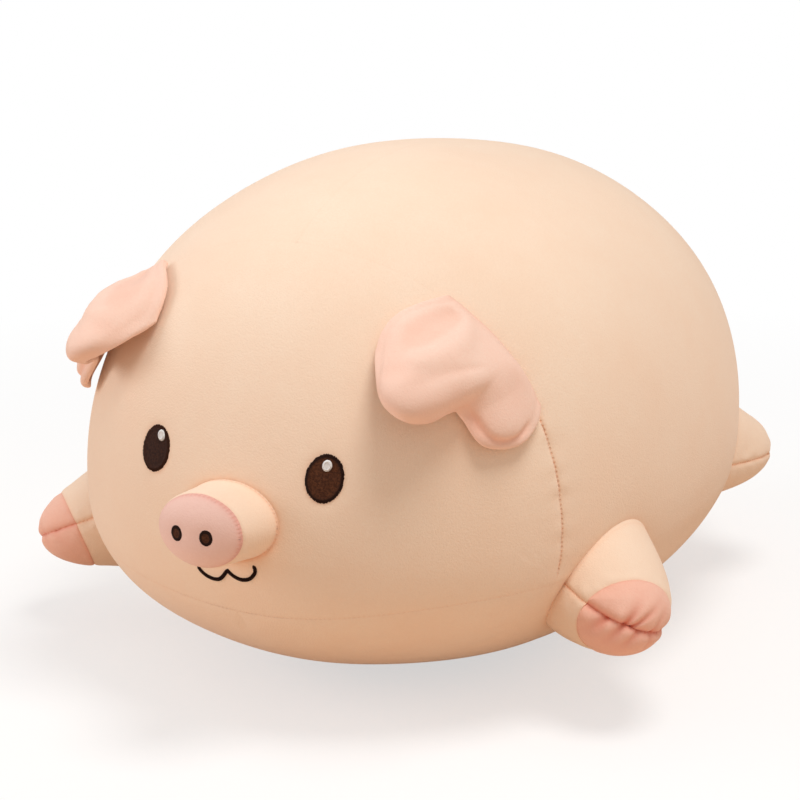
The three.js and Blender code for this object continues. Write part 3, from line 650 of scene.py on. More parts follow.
class Nodes:
    """A node tree, with short calls that add a node, set or join its inputs, and give one of its outputs."""

    def __init__(self, tree):
        self.tree = tree
        self.place = self.add("TexCoord", {}, "Object")

    def feed(self, node, inputs):
        for key, value in inputs.items():
            if isinstance(value, bpy.types.NodeSocket):
                self.tree.links.new(value, node.inputs[key])
            else:
                node.inputs[key].default_value = value

    def add(self, kind, inputs, output=0, **values):
        node = given(self.tree.nodes.new("ShaderNode" + kind), values)
        self.feed(node, inputs)
        return node.outputs[output] if node.outputs else node

    def noise(self, size, detail, roughness):
        inputs = {"Vector": self.place, "Scale": 1 / size, "Detail": detail, "Roughness": roughness}
        return self.add("TexNoise", inputs, "Fac")

    def blend(self, share, first, second):
        """A mix of two colours, whose sockets come after those for numbers and vectors."""
        return self.add("Mix", {0: share, 6: first, 7: second}, 2, data_type="RGBA")

    def spread(self, value, low, high, to_low=0.0, to_high=1.0):
        inputs = {"Value": value, "From Min": low, "From Max": high, "To Min": to_low, "To Max": to_high}
        return self.add("MapRange", inputs, "Result")

    def value(self, name):
        return self.add("Attribute", {}, "Fac", attribute_name=name)

    def math(self, operation, first, second=0.0):
        return self.add("Math", {0: first, 1: second}, operation=operation)

    def stitches(self):
        """Small stitches in a row along a seam, where the mesh tells how far off the seam lies: the mask of
        their painted shade and dents.
        """
        beat = self.math("SINE", self.math("MULTIPLY", self.value("seam_count"), 2 * pi))
        near = self.spread(self.value("seam_near"), 0.9, 0.3)
        row = self.math("MULTIPLY", self.spread(beat, -0.2, 0.6), near)
        return self.math("MULTIPLY", row, self.value("seam_strength"))

    def bump(self, height, distance, strength, below=None):
        lower = {"Normal": below} if below is not None else {}
        return self.add("Bump", {"Distance": distance, "Strength": strength, "Height": height, **lower})

    def seen(self, light, look):
        """One shader for light, and one for what is seen straight, in a reflection or through glass."""
        rays = ("Is Camera Ray", "Is Glossy Ray", "Is Transmission Ray")
        camera, glossy, through = (self.add("LightPath", {}, ray) for ray in rays)
        direct = self.math("MAXIMUM", self.math("MAXIMUM", camera, glossy), through)
        return self.add("MixShader", {0: direct, 1: light, 2: look})


def new_material(name):
    """A material with a weak gloss, its nodes and its shader."""
    material = bpy.data.materials.new(name)
    material.use_nodes = True
    shader = material.node_tree.nodes["Principled BSDF"]
    shader.inputs["Specular IOR Level"].default_value = 0.1
    return material, Nodes(material.node_tree), shader


def plush_material(name, colour, lean, deep):
    """Short velvet pile: soft sheen, faint patches where the pile leans, and painted shade, a darker and
    warmer tone, in seams, creases and stitch dimples.
    """
    material, nodes, shader = new_material(name)
    colour, lean, deep = linear(*colour), linear(*lean), linear(*deep)
    patches = nodes.spread(nodes.noise(PATCH, 5, 0.62), 0.35, 0.7, 0.0, 0.7)
    fibres = nodes.spread(nodes.noise(PILE * 2, 3, 0.75), 0.3, 0.72, 0.0, 0.55)
    stitches = nodes.stitches()
    tone = nodes.blend(fibres, nodes.blend(patches, colour, lean), lean)
    # Painted shade: the tone turns darker and warmer in seams, creases and hollows, as the mesh tells.
    tone = nodes.blend(nodes.spread(nodes.value("crease_shade"), 0, 1, 0, 0.9), tone, deep)
    # Painted shade in the dimples that the stitches pull into the plush.
    tone = nodes.blend(nodes.math("MULTIPLY", stitches, STITCH_SHADE), tone, deep)
    lay = nodes.bump(nodes.noise(0.006, 4, 0.6), 0.0006, 0.16)
    lay = nodes.bump(nodes.noise(PILE * 1.3, 2, 0.7), 0.0005, 0.5, lay)
    lay = nodes.bump(nodes.math("MULTIPLY", stitches, -1.0), 0.0005, 0.8, lay)
    nodes.feed(shader, {"Base Color": tone, "Normal": lay, "Roughness": 0.92, "Sheen Weight": 0.35,
                        "Sheen Roughness": 0.5, "Sheen Tint": (1, 0.92, 0.86, 1)})
    return material


def thread_material(name, colour, deep, rim, direction):
    """Rayon thread laid in satin stitch: fine parallel strands, speckled, with a soft shine."""
    material, nodes, shader = new_material(name)
    colour, deep, rim = linear(*colour), linear(*deep), linear(*rim)
    waves = {"Vector": nodes.place, "Scale": 1 / (THREAD * 3.2), "Distortion": 1.2, "Detail": 2}
    strands = nodes.add("TexWave", waves, "Fac", wave_type="BANDS", bands_direction=direction)
    speckle = nodes.spread(nodes.noise(SPECKLE, 3, 0.7), 0.38, 0.66)
    tone = nodes.blend(speckle, deep, nodes.blend(strands, deep, colour))
    tone = nodes.blend(nodes.value("rim"), tone, rim)
    nodes.feed(shader, {"Base Color": tone, "Normal": nodes.bump(strands, 0.0002, 0.7), "Roughness": 0.6})
    return material


# Each plush: its colour, its colour where the pile leans, and the darker, warmer colour of its painted shade.
PEACH = plush_material("peach plush", (255, 231, 208), (253, 222, 196), (246, 180, 138))
EAR_PEACH = plush_material("ear plush", (255, 222, 204), (254, 209, 189), (246, 178, 150))
PINK = plush_material("pink plush", (251, 214, 202), (246, 202, 189), (228, 150, 134))
HOOF_PINK = plush_material("hoof plush", (254, 206, 186), (250, 190, 168), (226, 118, 92))
BROWN_THREAD = thread_material("brown thread", (122, 74, 46), (62, 32, 18), (38, 17, 9), "X")
# The brown thread as a darker copy: painted shade for the pig's right eye, which is turned away from the
# light.
SHADED_BROWN_THREAD = thread_material("shaded brown thread", (84, 48, 32), (42, 20, 12), (54, 27, 15), "X")
MOUTH_THREAD = thread_material("mouth thread", (62, 32, 22), (30, 13, 8), (30, 13, 8), "Z")
WHITE_THREAD = thread_material("white thread", (255, 255, 255), (238, 236, 236), (250, 250, 250), "Z")


# Legs: where each lies, and how the body is drawn in round it

class Leg:
    def __init__(self, side, foot, standoff, root, depth, shift, gathered, hoof_length, hoof_slant, seam_turn,
                 lower_share):
        self.side = side
        self.gathered = gathered
        self.seam_turn = np.radians(seam_turn)
        self.lower_share = lower_share
        self.start = on_body(root, -depth)
        out = on_body(foot, standoff) + shift - self.start
        self.length = norm(out) + FOOT_RADIUS
        self.out = unit(out)
        self.across = unit(array([self.out[1], -self.out[0], 0]))
        up = np.cross(self.across, self.out)
        self.up = up if up[2] > 0 else -up
        self.hoof_reach = 1 - hoof_length / self.length
        self.hoof_slant = hoof_slant
        self.hoof_girth = sqrt(1 - self.hoof_reach ** LEG_TAPER)

    def rim_reach(self, angle):
        """Where the pink starts, as a share of the leg's length: further out on top and on the front side."""
        return self.hoof_reach + self.hoof_slant[0] * sin(angle) + self.hoof_slant[1] * cos(angle)

    def drape(self, reach):
        """How much narrower the leg is than its plain form towards the body, and how much higher on top."""
        lean = clip(1 - reach / self.hoof_reach, 0, 1) ** LEG_NARROWING_SHARE
        return 1 - LEG_NARROWING * lean, 1 + LEG_RAISING * lean

    def surface(self, angle, girth, dimpled=True):
        """Places and normals of the leg: the angle round its axis, and girth as a share of the root's."""
        reach = (1 - girth * girth) ** (1 / LEG_TAPER)
        narrowed, raised = self.drape(reach)
        side = LEG_ROOT_HALF_WIDTH * girth * cos(angle) * narrowed
        rise = LEG_ROOT_HALF_HEIGHT * girth * sin(angle) * np.where(sin(angle) > 0, raised, self.lower_share)
        taper = LEG_TAPER * reach ** (LEG_TAPER - 1) / (2 * self.length)
        normal = (self.across * (side / LEG_ROOT_HALF_WIDTH ** 2)[..., None]
                  + self.up * (rise / LEG_ROOT_HALF_HEIGHT ** 2)[..., None] + self.out * taper[..., None])
        sole = clip(1 - (girth / self.hoof_girth) ** 2, 0, 1) if dimpled else 0
        dimple = sole * self.gathered * SOLE_DIMPLE * hump(rise, DIMPLE_WIDTH)
        points = (self.start + self.across * side[..., None] + self.up * rise[..., None]
                  + self.out * (self.length * reach - dimple)[..., None])
        return points * (self.side, 1, 1), unit(normal) * (self.side, 1, 1)

    def distance(self, points):
        """Roughly how far places lie outside the leg."""
        offset = points * (self.side, 1, 1) - self.start
        reach = offset @ self.out / self.length
        narrowed, raised = self.drape(reach)
        side, rise = offset @ self.across / narrowed, offset @ self.up
        rise = rise / np.where(rise > 0, raised, self.lower_share)
        girth = np.hypot(side / LEG_ROOT_HALF_WIDTH, rise / LEG_ROOT_HALF_HEIGHT)
        outside = girth - sqrt(1 - clip(reach, 0, 1) ** LEG_TAPER)
        return np.where(reach > 0, outside, 1.0) * (LEG_ROOT_HALF_WIDTH + LEG_ROOT_HALF_HEIGHT) / 2


# How long a leg's hoof is, how its edge slants, how far its seams are turned, and how deep its lower half is.
FRONT_LOOK = (HOOF_LENGTH, (0.035, 0), 26, 1)
HIND_LOOK = (HIND_HOOF_LENGTH, (0.02, 0.12), 0, 0.78)
LEGS = {
    "front_left_leg": Leg(1, *FRONT_LEG, (-0.0023, -0.0012, 0.0036), 0.9, *FRONT_LOOK),
    "front_right_leg": Leg(-1, *FRONT_LEG, (0, 0, -0.0035), 0.2, *FRONT_LOOK),
    "hind_left_leg": Leg(1, *HIND_LEG, (-0.002, -0.0015, 0.002), 0.5, *HIND_LOOK),
    "hind_right_leg": Leg(-1, *HIND_LEG, (-0.002, -0.0015, 0.002), 0.6, *HIND_LOOK),
}


# The body's seams, each as a line of places with its strength and the length along it

def seam_lines():
    """The belt seam shows more below the face, and the cross seam less above the ears and at its ends."""
    even = linspace(0, 1, SEAM_PLACES)
    plan = linspace(-pi, pi, BELT_PLACES)
    flank = smooth((np.abs(plan) / CORNER_PLAN - CHIN_REACH) / CHIN_FADE)
    belt = (on_body(belt_seam(plan)), mix(CHIN_STRENGTH, FLANK_STRENGTH, flank))
    angle = mix(CORNER_ANGLE, pi - CORNER_ANGLE, even)
    over = smooth((sin(angle) - sin(np.radians(EAR_BOTTOM_ANGLE))) / CROWN_FADE)
    ends = smooth(minimum(even, 1 - even) / CROSS_SEAM_END)
    cross = (on_body(cross_seam(angle)), mix(CHEEK_STRENGTH, CROWN_STRENGTH, over) * ends)
    back = (on_body(back_seam(even)), np.full(len(even), BACK_STRENGTH))
    lines = []
    for points, strength in (belt, cross, back):
        steps = norm(np.diff(points, axis=0), axis=-1)
        tree = KDTree(len(points))
        for number, spot in enumerate(points):
            tree.insert(spot, number)
        tree.balance()
        lines.append((tree, points, strength, concatenate([[0], np.cumsum(steps)])))
    return lines


SEAMS = seam_lines()


def sewing(distance, along, strength):
    """What a material needs to draw stitches: how many mm off a seam, how many along it, and how clear."""
    near = minimum(distance * 1000, 20)
    return {"seam_near": near, "seam_count": along / STITCH_LENGTH, "seam_strength": strength}


def seam_shape(rest):
    """How far the plush rises or sinks near the seams, how much painted shade each place gets from its seam,
    and the stitches.
    """
    height, crease_shade = np.zeros(rest.shape[:2]), np.zeros(rest.shape[:2])
    least = np.full(rest.shape[:2], np.inf)
    stitches = {}
    for tree, points, strengths, lengths in SEAMS:
        found = [tree.find(spot) for spot in rest.reshape(-1, 3)]
        nearest, distance = (array([hit[part] for hit in found]).reshape(least.shape) for part in (1, 2))
        seam, strength = points[nearest], strengths[nearest]
        waves = ripple(seam, PUCKER_LENGTH, 11)
        waves += LONG_PUCKER_SHARE * ripple(seam, PUCKER_LENGTH * LONG_PUCKER, 12)
        rise = PUCKER_HEIGHT * waves * fade(distance, PUCKER_WIDTH) * (1 - fade(distance, PUCKER_START))
        groove = SEAM_DEPTH * hump(distance, SEAM_WIDTH, SEAM_SHARPNESS)
        height += strength * (rise - groove - fade(distance, SEAM_DIP_WIDTH, SEAM_DIP_DEPTH))
        # Painted shade along the seam, as strong as the seam is clear.
        crease_shade = maximum(crease_shade, fade(distance, *SEAM_SHADE) * strength)
        for key, numbers in sewing(distance, lengths[nearest], strength).items():
            stitches[key] = np.where(distance < least, numbers, stitches.get(key, 0))
        least = minimum(distance, least)
    return height, crease_shade, stitches


# What the face is drawn in round

SNOUT_LEVEL = WIDEST_LEVEL + SNOUT_RISE
SNOUT_BACK = float(body_front(0.0, SNOUT_LEVEL)) + SNOUT_OVERRUN
SNOUT_FRONT = SNOUT_BACK - SNOUT_OVERRUN - SNOUT_REACH


def eye_centre(side):
    return EYE_SHIFT + side * EYE_SPACING / 2, WIDEST_LEVEL + EYE_RISE - side * EYE_TILT


def oval_distance(points, x, z, half_width, half_height):
    share = np.hypot((points[..., 0] - x) / half_width, (points[..., 2] - z) / half_height)
    return np.where(points[..., 1] < 0, (share - 1) * (half_width + half_height) / 2, 1.0)


def drawn_in(rest):
    """How far the body's plush is drawn in round what is sewn on to it, and how much painted shade lies in
    the crease there.
    """
    height, crease_shade = np.zeros(rest.shape[:2]), np.zeros(rest.shape[:2])
    level = SNOUT_LEVEL - SNOUT_BASE_DROP
    snout = oval_distance(rest, 0, level, SNOUT_BASE_HALF_WIDTH, SNOUT_BASE_HALF_HEIGHT)
    legs = [(leg.distance(rest), ROUND_LEG, SUNK_DEPTH) for leg in LEGS.values()]
    eyes = [(oval_distance(rest, *eye_centre(side), EYE_HALF_WIDTH, EYE_HALF_HEIGHT), ROUND_EYE, 0)
            for side in (1, -1)]
    for distance, (drawn, shade), sunk in [(snout, ROUND_SNOUT, SUNK_DEPTH), *legs, *eyes]:
        off = maximum(distance, 0)
        height -= fade(off, *drawn) + sunk * smooth(-distance / SUNK_WIDTH)
        # Painted shade in the crease round the piece.
        crease_shade = maximum(crease_shade, fade(off, *shade))
    return height, crease_shade


# The body's covers, swollen by the stuffing

def between_taps(share, count):
    """The four grid lines round each place, and their Catmull-Rom weights."""
    spot = clip(share, 0, 1) * (count - 1)
    first = minimum(spot.astype(int), count - 2)
    t = spot - first
    weights = (-0.5 * t + t ** 2 - 0.5 * t ** 3, 1 - 2.5 * t ** 2 + 1.5 * t ** 3,
               0.5 * t + 2 * t ** 2 - 1.5 * t ** 3, -0.5 * t ** 2 + 0.5 * t ** 3)
    return [(clip(first - 1 + k, 0, count - 1), weight) for k, weight in enumerate(weights)]


def resampled(grid, u, v):
    """A grid of vectors at other places, smoothly."""
    columns = sum(grid[line] * weight[:, None, None] for line, weight in between_taps(u, grid.shape[0]))
    return sum(columns[:, line] * weight[None, :, None] for line, weight in between_taps(v, grid.shape[1]))


def filled(points, faces, pinned):
    """How far each place of a cloth moves when it is filled under pressure, with some places held."""
    scene = bpy.context.scene
    data = bpy.data.meshes.new("cover_to_fill")
    data.from_pydata(points.tolist(), [], faces)
    made = linked("cover_to_fill", data)
    made.vertex_groups.new(name="sewn").add(np.flatnonzero(pinned).tolist(), 1.0, "REPLACE")
    modifier = made.modifiers.new("cloth", "CLOTH")
    given(modifier.settings, CLOTH).effector_weights.gravity = 0
    given(modifier.point_cache, {"frame_start": 1, "frame_end": SIMULATED_FRAMES})
    for step in range(1, SIMULATED_FRAMES + 1):
        scene.frame_set(step)
    moved = made.evaluated_get(bpy.context.evaluated_depsgraph_get()).to_mesh()
    ends = np.empty(len(points) * 3)
    moved.vertices.foreach_get("co", ends)
    scene.frame_set(1)
    bpy.data.objects.remove(made)
    bpy.data.meshes.remove(data)
    shift = ends.reshape(-1, 3) - points
    length = maximum(norm(shift, axis=-1, keepdims=True), 1e-12)
    return shift / length * MOST_MOVED * np.tanh(length / MOST_MOVED)


# The panels: where each lies, its columns and rows while it is filled and as it is seen, and its CAD nodes.
PANELS = {
    "face_plush": (face_place, (48, 24), (380, 190), ("face_panel", "body_stuffing")),
    "left_side_plush": (left_side_place, (24, 24), (260, 220), ("left_side_panel",)),
    "right_side_plush": (right_side_place, (24, 24), (260, 220), ("right_side_panel",)),
    "belly_plush": (belly_place, (48, 24), (260, 150), ("belly_panel",)),
}


def stuffed_shifts():
    """How far the stuffing moves each panel, on a coarse grid, with the seams held."""
    rests = [on_body(spot(*shares(*(linspace(0, 1, count + 1) for count in coarse))))
             for spot, coarse, _, _ in PANELS.values()]
    flat = concatenate([rest.reshape(-1, 3) for rest in rests])
    _, first, index = np.unique(np.round(flat, 5), axis=0, return_index=True, return_inverse=True)
    points, index = flat[first], index.ravel()
    stops = np.cumsum([rest.shape[0] * rest.shape[1] for rest in rests])[:-1]
    pinned = np.zeros(len(first), bool)
    faces = []
    for rest, local in zip(rests, np.split(index, stops)):
        columns, rows = rest.shape[:2]
        for quad in grid_faces(columns, rows, turned=faces_in(rest, -body_normal(rest))):
            corners = list(dict.fromkeys(local[quad].tolist()))
            if len(corners) > 2:
                faces.append(corners)
        edge = local.reshape(columns, rows)
        for line in (edge[0], edge[-1], edge[:, 0], edge[:, -1]):
            for (tree, _, strengths, _), least in zip(SEAMS, HELD_STRENGTHS):
                found = [tree.find(spot) for spot in points[line]]
                pinned[line] |= array([hit[2] < HELD_WIDTH and strengths[hit[1]] > least for hit in found])
    shift = filled(points, faces, pinned)
    shift[pinned] = 0
    corners = on_body(cross_seam(array([CORNER_ANGLE, pi - CORNER_ANGLE])))
    off_corner = np.min(norm(points[:, None] - corners, axis=-1), axis=1)
    shift *= smooth(off_corner / CORNER_HOLD)[:, None]
    return [part.reshape(rest.shape) for rest, part in zip(rests, np.split(shift[index], stops))]


def add_panel(name, spot, counts, nodes, shift):
    u, v = dense_at_ends(counts[0], 0.35), dense_at_ends(counts[1], 0.6)
    rest = on_body(spot(*shares(u, v)))
    normal = body_normal(rest)
    height, crease_shade, stitches = seam_shape(rest)
    round_height, round_crease_shade = drawn_in(rest)
    off_floor = smooth(rest[..., 2:] / FLOOR_HOLD)
    height += round_height + SWELL_HEIGHT * ripple(rest, SWELL_LENGTH, 21) * off_floor[..., 0]
    points = rest + normal * height[..., None] + resampled(shift, u, v) * off_floor
    # The panel's painted shade: along the seams and in the creases round the sewn-on pieces.
    values = {"crease_shade": maximum(crease_shade, round_crease_shade), **stitches}
    return dress(cover(name, points, -normal, PEACH, values), nodes)


def add_body():
    """Adds the panels, and gives the face's."""
    made = {}
    for (name, (spot, _, fine, nodes)), shift in zip(PANELS.items(), stuffed_shifts()):
        made[name] = add_panel(name, spot, fine, nodes, shift)
    return made["face_plush"]


# Snout: a band sewn to the face, closed by a domed pad with two embroidered nostrils

def pad_dome(x, z):
    out = np.hypot(x / PAD_HALF_WIDTH, (z - SNOUT_LEVEL) / PAD_HALF_HEIGHT) / PAD_SHARE
    rise = SNOUT_DOME * clip(1 - out ** PAD_ROUNDNESS, 0, 1)
    edge = PAD_EDGE * sqrt(clip(1 - out ** PAD_EDGE_ROUNDNESS, 0, 1))
    for side in (1, -1):
        nostril = np.hypot(x - side * NOSTRIL_SPACING / 2, z - SNOUT_LEVEL)
        rise = rise - NOSTRIL_DENT * hump(nostril, NOSTRIL_DENT_WIDTH)
    return rise + edge


def on_pad(x, z):
    """Places on the pad and their outward normals, which all point forward."""
    points = place(x, SNOUT_FRONT - PAD_STANDOFF - pad_dome(x, z), z)
    return points, np.broadcast_to(array([0, -1.0, 0]), points.shape)


def add_snout():
    turn = linspace(0, 2 * pi, SNOUT_COLUMNS, endpoint=False)
    angle, v = shares(turn, dense_at_ends(BAND_ROWS, 0.6))
    from_pad = (1 - v) * (SNOUT_REACH + SNOUT_OVERRUN)
    roll = PAD_EDGE * clip(1 - from_pad / BAND_ROLL, 0, 1) ** 3
    seam = place(cos(angle) * PAD_HALF_WIDTH, 0, sin(angle) * PAD_HALF_HEIGHT)
    pucker = BAND_PUCKER * ripple(seam, BAND_PUCKER_LENGTH, 31) * fade(from_pad, PUCKER_WIDTH)
    swell = BAND_SWELL * sin(pi * clip(from_pad / SNOUT_REACH, 0, 1))
    waist = SNOUT_WAIST * sin(pi * v) + roll - pucker - swell
    half_width = mix(SNOUT_BASE_HALF_WIDTH, PAD_HALF_WIDTH, v) - waist
    half_height = mix(SNOUT_BASE_HALF_HEIGHT, PAD_HALF_HEIGHT, v) - waist
    level = SNOUT_LEVEL - mix(SNOUT_BASE_DROP, 0, v)
    points = place(half_width * cos(angle), mix(SNOUT_BACK, SNOUT_FRONT, v), level + half_height * sin(angle))
    inward = place(-cos(angle), 0, -sin(angle))
    off = minimum(from_pad, np.abs(points[..., 1] - body_front(points[..., 0], points[..., 2])))
    along = angle * PAD_HALF_HEIGHT * PAD_OVAL
    # Painted shade where the band meets the pad and the face.
    values = {"crease_shade": fade(off, *BAND_SHADE), **sewing(off, along, FINE_STITCHES)}
    band = cover("snout_band_plush", points, inward, PEACH, values, True, SMALL_HEM)
    dress(band, ["snout_band", "snout_stuffing"])

    angle, share = shares(turn, (1 - (1 - linspace(0, 1, PAD_ROWS)) ** PAD_ROW_SHARE) * PAD_SHARE)
    x, z = PAD_HALF_WIDTH * share * cos(angle), SNOUT_LEVEL + PAD_HALF_HEIGHT * share * sin(angle)
    points, outward = on_pad(x, z)
    off = (PAD_SHARE - share) * PAD_HALF_HEIGHT
    along = angle * PAD_HALF_HEIGHT * PAD_OVAL
    # Painted shade round the pad's edge.
    values = {"crease_shade": fade(off, *PAD_SHADE), **sewing(off, along, PAD_STITCHES)}
    pad = cover("snout_pad_plush", points, -outward, PINK, values, True, SMALL_HEM)
    dress(pad, ["snout_pad"])


# Embroidery: raised satin stitch

def satin(name, centre, half_width, half_height, on_face, height, border, material, nodes, lean=0.0):
    """A patch of satin stitch: a filled oval inside a raised border of threads that run outward.

    Each thread has four places round the rim, and ends a little further in or out than the next one."""
    threads = int(round(pi * (half_width + half_height) / THREAD))
    turn = linspace(0, 2 * pi, threads * 4, endpoint=False)
    inner, outer = PATCH_RINGS
    rings = concatenate([linspace(0, 1 - border, inner), linspace(1 - border, 1, outer)[1:]])
    angle, share = shares(turn, rings)
    draw = np.random.default_rng(len(name))
    ragged = np.repeat(draw.uniform(*RAGGED_ENDS, threads), 4)[:, None] * smooth((share - RAGGED_START) / 0.1)
    edge = clip((share - 1 + border) / border, 0, 1)
    raised = sin(pi * clip(edge * 0.5 + 0.5, 0, 1)) ** 0.5
    ridge = THREAD_RIDGE * cos(threads * angle) * sin(pi * edge) * (share > 1 - border)
    fill = FILL_LEVEL + FILL_DOME * (1 - share)
    lift = height * (np.where(share < 1 - border, fill, raised) + ridge) - STITCH_SUNK
    rise = half_height * (share + ragged) * sin(angle)
    x, z = centre[0] + half_width * (share + ragged) * cos(angle) + lean * rise, centre[1] + rise
    points, normal = on_face(x, z)
    values = {"rim": smooth((share - 1 + border * RIM_REACH) / RIM_FADE)}
    faces = grid_faces(*share.shape, closed=True, turned=True)
    dress(add_mesh(name, points + normal * lift[..., None], faces, material, values), nodes)


def face_caster(face):
    """Finds the face's plush, and its normal, in front of places in the XZ plane."""
    tree = BVHTree.FromPolygons([v.co for v in face.data.vertices], [p.vertices for p in face.data.polygons])

    def on_face(x, z):
        hits = []
        for start in place(x, body_front(x, z) - CAST_DISTANCE, z).reshape(-1, 3):
            hit = tree.ray_cast(Vector(start), Vector((0, 1, 0)))[0]
            hits.append(tuple(hit) if hit is not None else start + (0, CAST_DISTANCE, 0))
        points = array(hits).reshape(*x.shape, 3)
        return points, body_normal(points)

    return on_face


def mouth_line():
    """A line in the shape of a w: two arcs that meet under the snout."""
    arcs = [catmull(array(arc) / 1000, linspace(0, 1, MOUTH_STEPS)) for arc in MOUTH_ARCS]
    points = concatenate([arcs[0], arcs[1][1:]])
    return MOUTH_SHIFT + points[:, 0], WIDEST_LEVEL + MOUTH_RISE + points[:, 1]


def add_mouth(on_face):
    x, z = mouth_line()
    along = unit(place(np.gradient(x), 0, np.gradient(z)))
    length = concatenate([[0], np.cumsum(np.hypot(np.diff(x), np.diff(z)))])
    end = minimum(length, length[-1] - length)
    beat = cos(2 * pi * length / THREAD)
    half = MOUTH_LINE / 2 * sqrt(clip(end / MOUTH_TIP, 0.02, 1)) * (1 + THREAD_NOTCH * beat)
    half, share = shares(half, linspace(-1, 1, MOUTH_ROWS))
    off = half * share
    points, normal = on_face(x[:, None] - along[:, 2:3] * off, z[:, None] + along[:, 0:1] * off)
    raised = sqrt(clip(1 - share ** 2, 0, 1)) * (1 + THREAD_RIDGE * beat[:, None]) * (half / MOUTH_LINE * 2)
    points = points + normal * (STITCH_HEIGHT * raised - STITCH_SUNK)[..., None]
    made = add_mesh("mouth_stitching", points, grid_faces(*share.shape), MOUTH_THREAD)
    dress(made, ["mouth"])


def add_embroidery(face):
    on_face = face_caster(face)
    # The right eye's thread is the brown thread in painted shade.
    for side, word, thread in ((1, "left", BROWN_THREAD), (-1, "right", SHADED_BROWN_THREAD)):
        centre = eye_centre(side)
        satin(word + "_eye_stitching", centre, EYE_HALF_WIDTH, EYE_HALF_HEIGHT, on_face,
              STITCH_HEIGHT, EYE_BORDER, thread, [word + "_eye"], EYE_LEANS[side])
        glint = (centre[0] + GLINT_PLACES[side][0], centre[1] + GLINT_PLACES[side][1])
        satin(word + "_eye_glint", glint, GLINT_HALF_WIDTH, GLINT_HALF_HEIGHT, on_face,
              GLINT_HEIGHT, PATCH_BORDER, WHITE_THREAD, [word + "_eye_highlight"])
        nostril = (side * NOSTRIL_SPACING / 2, SNOUT_LEVEL)
        satin(word + "_nostril_stitching", nostril, NOSTRIL_HALF_WIDTH, NOSTRIL_HALF_HEIGHT, on_pad,
              NOSTRIL_HEIGHT, PATCH_BORDER, BROWN_THREAD, [word + "_nostril"])
    add_mouth(on_face)


# Legs: an upper and a lower sleeve, each with a pink hoof, drawn in at their seams

def run(points, axis, back=False):
    """How far each place of a grid lies from its first or last line, along the grid."""
    steps = norm(np.diff(points, axis=axis), axis=-1)
    start = np.zeros((1, points.shape[1]) if axis == 0 else (points.shape[0], 1))
    length = concatenate([start, np.cumsum(steps, axis=axis)], axis=axis)
    last = length[-1:] if axis == 0 else length[:, -1:]
    return last - length if back else length


def leg_seam(points, distance, depth, width, pucker, seed):
    waves = ripple(points, LEG_PUCKER_LENGTH, seed) * fade(distance, LEG_PUCKER_WIDTH)
    groove = depth * hump(distance, width, LEG_SEAM_SHARPNESS)
    return pucker * waves * (1 - fade(distance, PUCKER_START)) - groove


def add_sleeve(name, leg, half, turn):
    u, v = shares(dense_at_ends(LEG_STEPS, 0.4), linspace(SLEEVE_START, 1, LEG_STEPS))
    angle = pi * (turn + u) + leg.seam_turn
    girth = sqrt(1 - (leg.rim_reach(angle) * v) ** LEG_TAPER)
    points, normal = leg.surface(angle, girth, False)
    side_seam = minimum(run(points, 0), run(points, 0, True))
    hoof_seam = run(points, 1, True)
    height = leg_seam(points, side_seam, *SIDE_SEAM) + leg_seam(points, hoof_seam, *HOOF_SEAM)
    height += LEG_SWELL * ripple(points, LEG_SWELL_LENGTH, 43)
    # Painted shade along the seams and where the leg meets the body.
    crease_shade = maximum(fade(side_seam, *SIDE_SHADE), fade(hoof_seam, *HOOF_SHADE))
    crease_shade = maximum(crease_shade, fade(np.abs(body_measure(points)), *ROOT_SHADE))
    points = points + normal * height[..., None]
    values = {"crease_shade": crease_shade, **sewing(side_seam, run(points, 1), FINE_STITCHES)}
    sleeve = cover(f"{name}_{half}_sleeve", points, -normal, PEACH, values, hem=SMALL_HEM)
    nodes = [f"{name}_{half}_cover"] + ([f"{name}_stuffing"] if half == "upper" else [])
    dress(sleeve, nodes)


def add_hoof(name, leg, half, turn):
    """Half of the leg's end, with the seam across the sole as its straight edge."""
    x, t = shares(-cos(pi * linspace(0, 1, HOOF_COLUMNS)), dense_at_ends(LEG_STEPS, 0.5))
    y = sqrt(clip(1 - x * x, 0, 1)) * t
    angle = pi * turn + np.arctan2(y, -x if turn == 0 else x) + leg.seam_turn
    girth = sqrt(1 - leg.rim_reach(angle) ** LEG_TAPER) * np.hypot(x, y)
    points, normal = leg.surface(angle, girth)
    sole, rim = run(points, 1), run(points, 1, True)
    along = x * leg.hoof_girth * LEG_ROOT_HALF_WIDTH
    height = leg_seam(points, rim, *HOOF_SEAM)
    height += leg_seam(points, sole, mix(*SOLE_SEAM_DEPTHS, leg.gathered), SOLE_SEAM_WIDTH,
                       SOLE_PUCKER * leg.gathered, 44)
    folded = np.zeros(points.shape[:2])
    for start, slant, depth in SOLE_FOLDS[half]:
        across = hump(along - start - slant * sole, FOLD_WIDTH + FOLD_WIDENING * sole)
        folded += leg.gathered * depth * across * hump(sole, FOLD_REACH)
    plump = mix(*SOLE_PLUMPNESS, leg.gathered) * (1 - fade(minimum(sole, rim), LEG_PUCKER_WIDTH))
    # Painted shade along the seams, and in the sole's folds as dark as they are deep.
    crease_shade = maximum(fade(rim, *HOOF_SHADE), fade(sole, SOLE_SHADE_WIDTH, mix(*SOLE_SHADES, leg.gathered)))
    points = points + normal * (height + plump - folded)[..., None]
    values = {"crease_shade": clip(crease_shade + folded / FOLD_DARKEST, 0, 1), **sewing(sole, along, FINE_STITCHES)}
    hoof = cover(f"{name}_{half}_hoof_plush", points, -normal, HOOF_PINK, values, hem=HOOF_HEM)
    dress(hoof, [f"{name}_{half}_hoof"])


def add_legs():
    for name, leg in LEGS.items():
        for half, turn in (("upper", 0), ("lower", 1)):
            add_sleeve(name, leg, half, turn)
            add_hoof(name, leg, half, turn)


